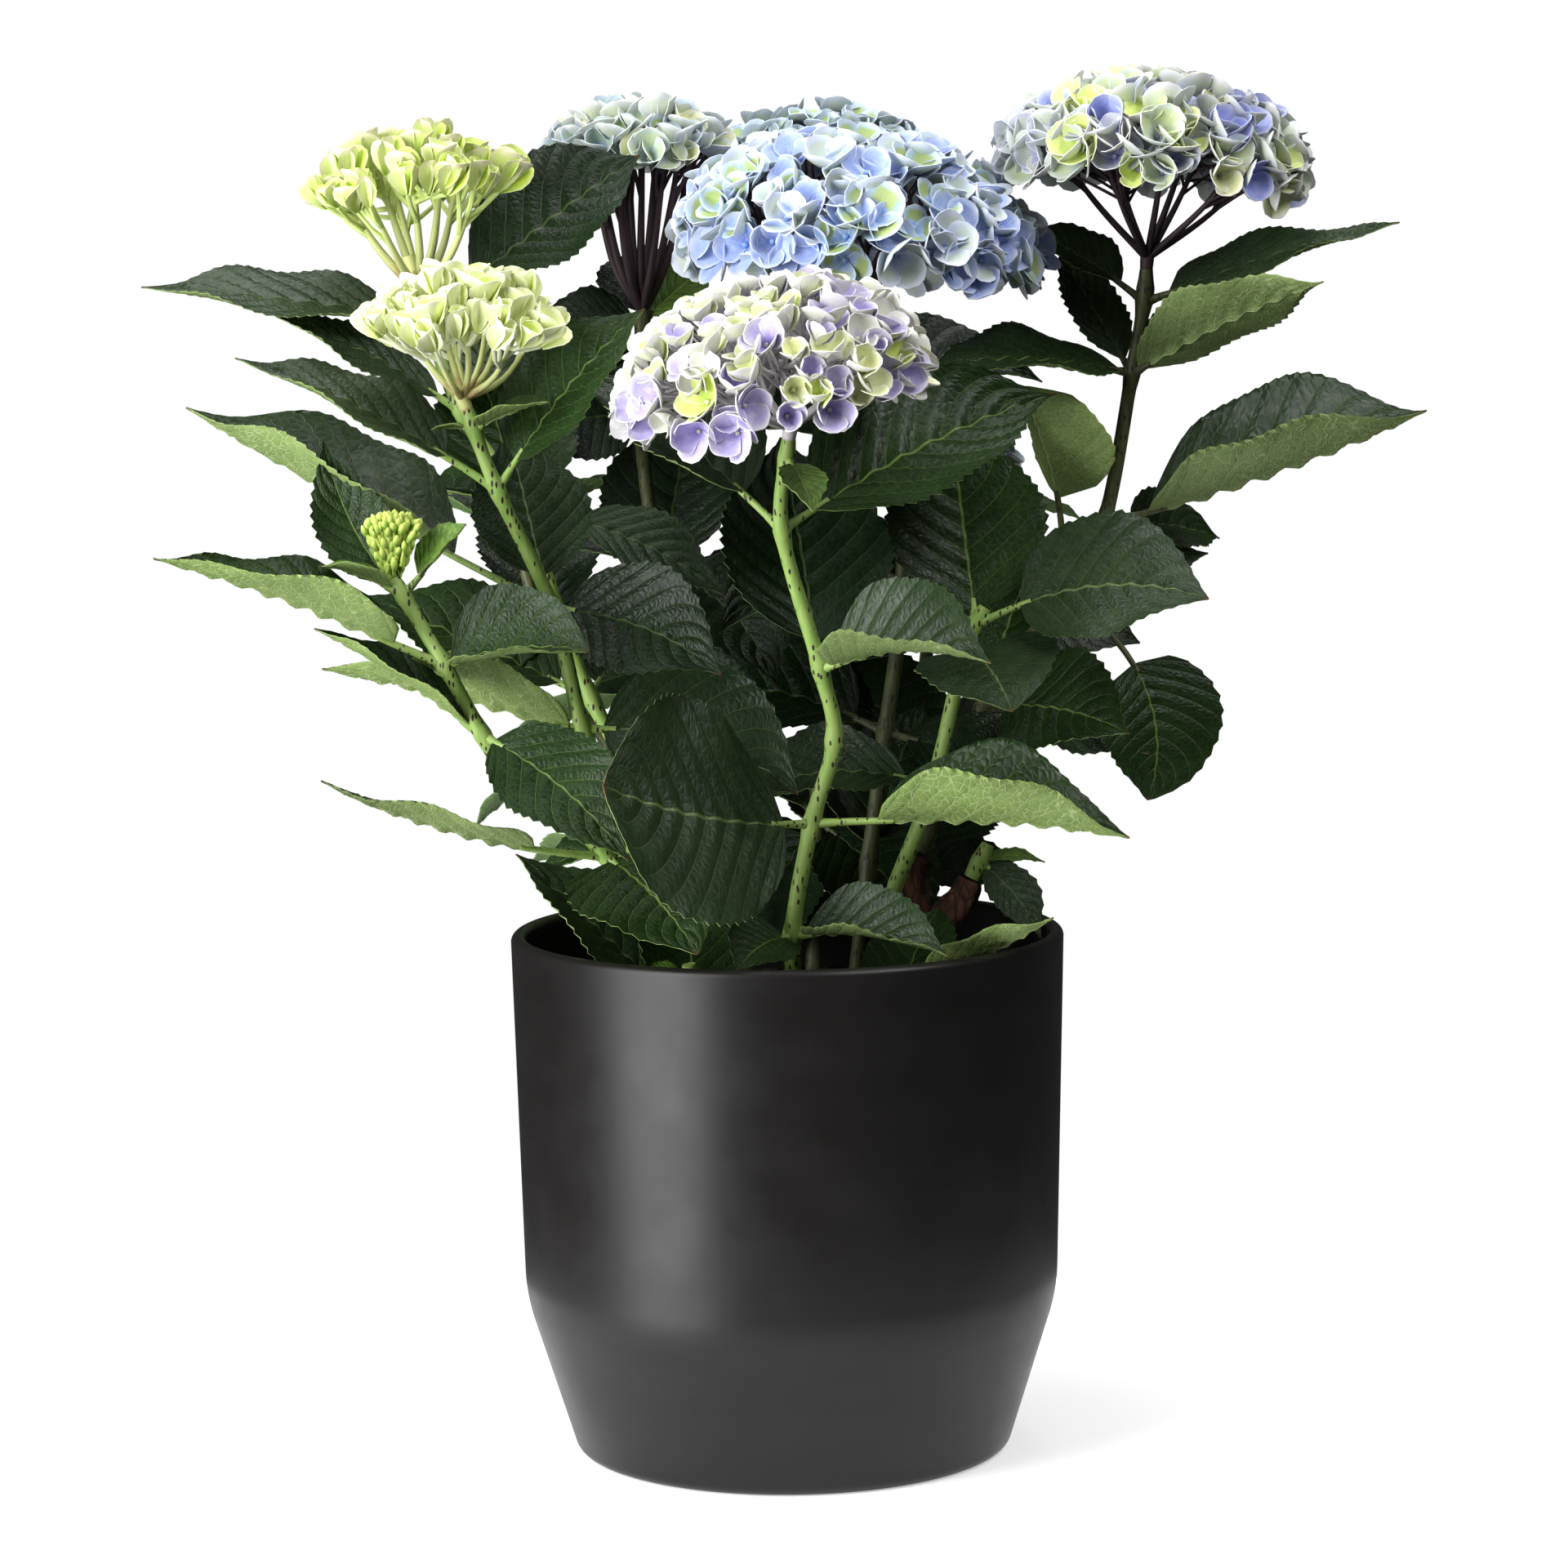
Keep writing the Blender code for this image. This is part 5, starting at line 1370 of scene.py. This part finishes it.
def make_soil():
    """A rough disc of peat with crumbs and bits of bark on it."""
    rng = np.random.default_rng(7)
    knee = POT_BREAK_HEIGHT + POT_BREAK_SOFT
    share = (SOIL_LEVEL - knee) / (POT_HEIGHT - POT_WALL / 2 - knee)
    edge = POT_BREAK_RADIUS - POT_WALL + (POT_RIM_RADIUS - POT_BREAK_RADIUS) * share - SOIL_EDGE
    rings = []
    for row in range(SOIL_ROWS + 1):
        radius = edge * (1 - row / (SOIL_ROWS + 1))
        ring = []
        for side in range(SOIL_SIDES):
            a = 2 * math.pi * side / SOIL_SIDES
            spot = Vector((radius * math.cos(a), radius * math.sin(a), 0))
            rough = noise.fractal(spot * 0.09, 1.0, 2.2, 4) * 1.8 + noise.noise(spot * 0.5) * 0.6
            ring.append(spot + Vector((0, 0, SOIL_TOP + min(rough, 2.4) - 0.4)))
        rings.append(ring)
    under = [Vector((point.x, point.y, SOIL_LEVEL - 6)) for point in rings[0]]
    bed = loft([under, *rings], Vector((0, 0, SOIL_TOP)))
    settle(solid_piece("peat_bed", [bed], PEAT, sharp=180), ["soil"])
    pile = Pile()
    a = rng.uniform(0, 2 * math.pi, CRUMBS)
    radius = (edge - 4) * np.sqrt(rng.uniform(0, 1, CRUMBS))
    places = np.stack([radius * np.cos(a), radius * np.sin(a), SOIL_TOP + rng.uniform(-0.6, 1.2, CRUMBS)], -1)
    sizes = rng.gamma(2.4, 0.45, CRUMBS)[:, None] * rng.uniform(0.5, 1.4, (CRUMBS, 3))
    axes = np.linalg.qr(rng.normal(size=(CRUMBS, 3, 3)))[0]
    pile.balls(places, np.clip(sizes, 0.35, 3.4), 0, axes)
    settle(pile.piece("peat_crumbs", [PEAT], sharp=40), ["soil"])


def rough_tube(way, radii, sides, depth, seed):
    """A tube with bark ridges that run along it."""
    points, faces = tube(way, radii, sides)
    rough = []
    for index, point in enumerate(points):
        out = point - way[index // sides]
        ridge = noise.fractal(Vector((out.x * 0.42, out.y * 0.42, point.z * 0.10 + seed)), 0.9, 2.3, 5)
        knob = noise.noise(point * 0.11 + Vector((seed, 0, 0)))
        rough.append(point + out.normalized() * depth * (ridge + 0.5 * knob - 0.15))
    return rough, faces


def make_wood():
    """Old forked wood under the right-hand shoots, with rough bark."""
    foot, fork = Vector(WOOD_FOOT), Vector(WOOD_FORK)
    trunk = smooth_way([foot - Vector((0, 0, 2)), foot.lerp(fork, 0.35), fork], 1.5)
    radii = WOOD_RADIUS + (WOOD_FLARE - WOOD_RADIUS) * (1 - np.linspace(0, 1, len(trunk))) ** 3
    solids = [rough_tube(trunk, radii.tolist(), 40, 1.3, 3.0)]
    start = foot.lerp(fork, 0.6)
    for number, (name, radius) in enumerate(WOOD_ARMS.items()):
        end, after = (Vector(node) for node in NODES[name][:2])
        ahead = (after - end).normalized()
        middle = end - ahead * (0.22 * (end - start).length)
        way = smooth_way([start, middle, end - ahead * 0.5], 1.5)
        thick = [WOOD_RADIUS * 0.8, radius * 1.1, radius * 0.92]
        radii = np.interp(np.linspace(0, 1, len(way)), [0, 0.7, 1], thick)
        solids.append(rough_tube(way, radii.tolist(), 32, 1.0, 11.0 * number))
    settle(solid_piece("old_wood_bark", solids, bark_finish(), sharp=180), ["old_wood"])


def make_bud(top, heading):
    """The closed flower head: slim upright buds in tufts, on a cone that widens to its top."""
    rng = np.random.default_rng(5)
    foot = top + heading * GAP
    pile = Pile()
    pile.tube([foot, foot + heading * 6, foot + heading * 14], [2.3, 2.3, 2.6], 10, 0)
    places, sizes, axes = [], [], []
    for index in range(BUD_COUNT):
        share = (index + 0.5) / BUD_COUNT
        turn = index * GOLDEN_ANGLE
        crown = min(1.0, share / BUD_CROWN)
        drop = max(0.0, share - BUD_CROWN) / (1 - BUD_CROWN)
        clump = 1 + 0.14 * math.sin(5 * turn + 9 * share)
        radius = (BUD_RADIUS - 3.0) * (math.sqrt(crown) - 0.62 * drop) * clump
        height = BUD_HEIGHT - 5.5 - 4.0 * crown**2 - 14.0 * drop
        spot = Vector((radius * math.cos(turn), radius * math.sin(turn), height + rng.uniform(-1.2, 1.2)))
        size = rng.uniform(0.95, 1.45)
        places.append(foot + spot)
        sizes.append((size, size, size * rng.uniform(1.9, 2.7)))
        flat = Vector((spot.x, spot.y, 0))
        up = (flat * 0.05 + Vector(rng.normal(0, 0.16, 3)) + Vector((0, 0, 1))).normalized()
        side = up.orthogonal().normalized()
        axes.append([tuple(side), tuple(up.cross(side)), tuple(up)])
        inner = 0.35 * flat + Vector((0, 0, max(5.0, height - 12.0)))
        pile.tube([foot + inner, foot + inner.lerp(spot - up * 7.0, 0.6), foot + spot], [0.9, 0.8, 0.7], 6, 1)
    pile.balls(vectors(places), np.array(sizes), 1, np.array(axes))
    settle(pile.piece("bud_cluster", [STEMS["light"], bud_finish()]), ["bud_head"])


# ---------------------------------------------------------------- the plant


ways = shoot_ways()
tips = {name: (way[-1], (way[-1] - way[-2]).normalized()) for name, way in ways.items()}
obstacles = []
for name in ("pot", "soil", "old_wood", "bud_head"):
    mesh = nodes[name].data
    points = [vert.co / MM for vert in mesh.vertices]
    obstacles.append(tree_of(points, [tuple(face.vertices) for face in mesh.polygons]))
blooms = {name: [tree_of(*solid) for solid in bloom_body(name, *tips[name])] for name in BLOOMS}
for trees in blooms.values():
    obstacles += trees
stems = {name: tree_of(*tube(way, stem_radii(way).tolist())) for name, way in ways.items()}
placed = {name: [] for name in NODES}
place_leaves(LEAVES, stems, obstacles, placed)
place_leaves(INNER_LEAVES, stems, obstacles, placed)
leaf_trees = [tree_of(*leaf_solid(root, spec, 0.2)) for found in placed.values() for root, spec in found]

foliage = sorted(name for name in nodes if name.startswith("foliage_"))
stem_nodes = sorted(name for name in nodes if name.startswith("stem_"))
for piece in grow_leaves(placed):
    settle(piece, foliage)
for piece in grow_stems(placed, ways):
    settle(piece, stem_nodes + foliage)
for name in BLOOMS:
    cores = [trees[1] for other, trees in blooms.items() if other != name]
    grow_head(name, *tips[name], leaf_trees + cores)
make_bud(*tips["bud"])
make_wood()
make_soil()
make_pot()


# ---------------------------------------------------------------- studio


def area_light(name, place, width, height, watts):
    data = bpy.data.lights.new(name, "AREA")
    data.shape = "RECTANGLE"
    data.size = width
    data.size_y = height
    data.energy = watts
    lamp = linked(name, data)
    lamp.location = place
    lamp.rotation_euler = (Vector((0, 0, 0.3)) - Vector(place)).to_track_quat("-Z", "Y").to_euler()


def studio_floor():
    """A pale round table top under the pot."""
    turns = [2 * math.pi * side / 96 for side in range(96)]
    mesh = bpy.data.meshes.new("studio_floor")
    mesh.from_pydata([(0.32 * math.cos(a), 0.32 * math.sin(a), 0) for a in turns], [], [tuple(range(96))])
    paper = Shade("studio_paper", (0.9, 0.9, 0.9), 0.9, 0.1)
    paper.put(paper.surface["Emission Color"], (1, 1, 1))
    paper.put(paper.surface["Emission Strength"], 0.45)
    mesh.materials.append(paper.made)
    linked("studio_floor", mesh)


studio_floor()
area_light("key", (-1.2, -0.9, 0.5), 1.0, 1.9, 57)
area_light("fill", (1.0, -0.9, 1.75), 0.9, 0.9, 20)
area_light("top", (-0.1, 0.2, 1.9), 1.4, 1.4, 27)

world = bpy.data.worlds.new("studio")
world.use_nodes = True
bpy.context.scene.world = world
tree = world.node_tree
plain = tree.nodes["Background"]
plain.inputs["Color"].default_value = (1, 1, 1, 1)
plain.inputs["Strength"].default_value = 0.05
seen = tree.nodes.new("ShaderNodeBackground")
seen.inputs["Color"].default_value = (1, 1, 1, 1)
path = tree.nodes.new("ShaderNodeLightPath")
blend = tree.nodes.new("ShaderNodeMixShader")
for slot, value in enumerate((path.outputs["Is Camera Ray"], plain.outputs[0], seen.outputs[0])):
    tree.links.new(value, blend.inputs[slot])
tree.links.new(blend.outputs[0], tree.nodes["World Output"].inputs[0])

camera = linked("camera", bpy.data.cameras.new("camera"))
camera.data.lens = CAMERA_LENS
camera.data.sensor_width = 36.0
tilt = math.atan2(CAMERA_PLACE[2] - CAMERA_AIM_HEIGHT, -CAMERA_PLACE[1])
turned_up = Matrix.Rotation(math.radians(90) - tilt, 4, "X")
rolled = Matrix.Rotation(math.radians(CAMERA_ROLL), 4, "Z")
camera.matrix_world = Matrix.Translation(Vector(CAMERA_PLACE)) @ turned_up @ rolled
bpy.context.scene.camera = camera
bpy.context.scene.view_settings.view_transform = "Standard"
bpy.context.scene.view_settings.look = "None"
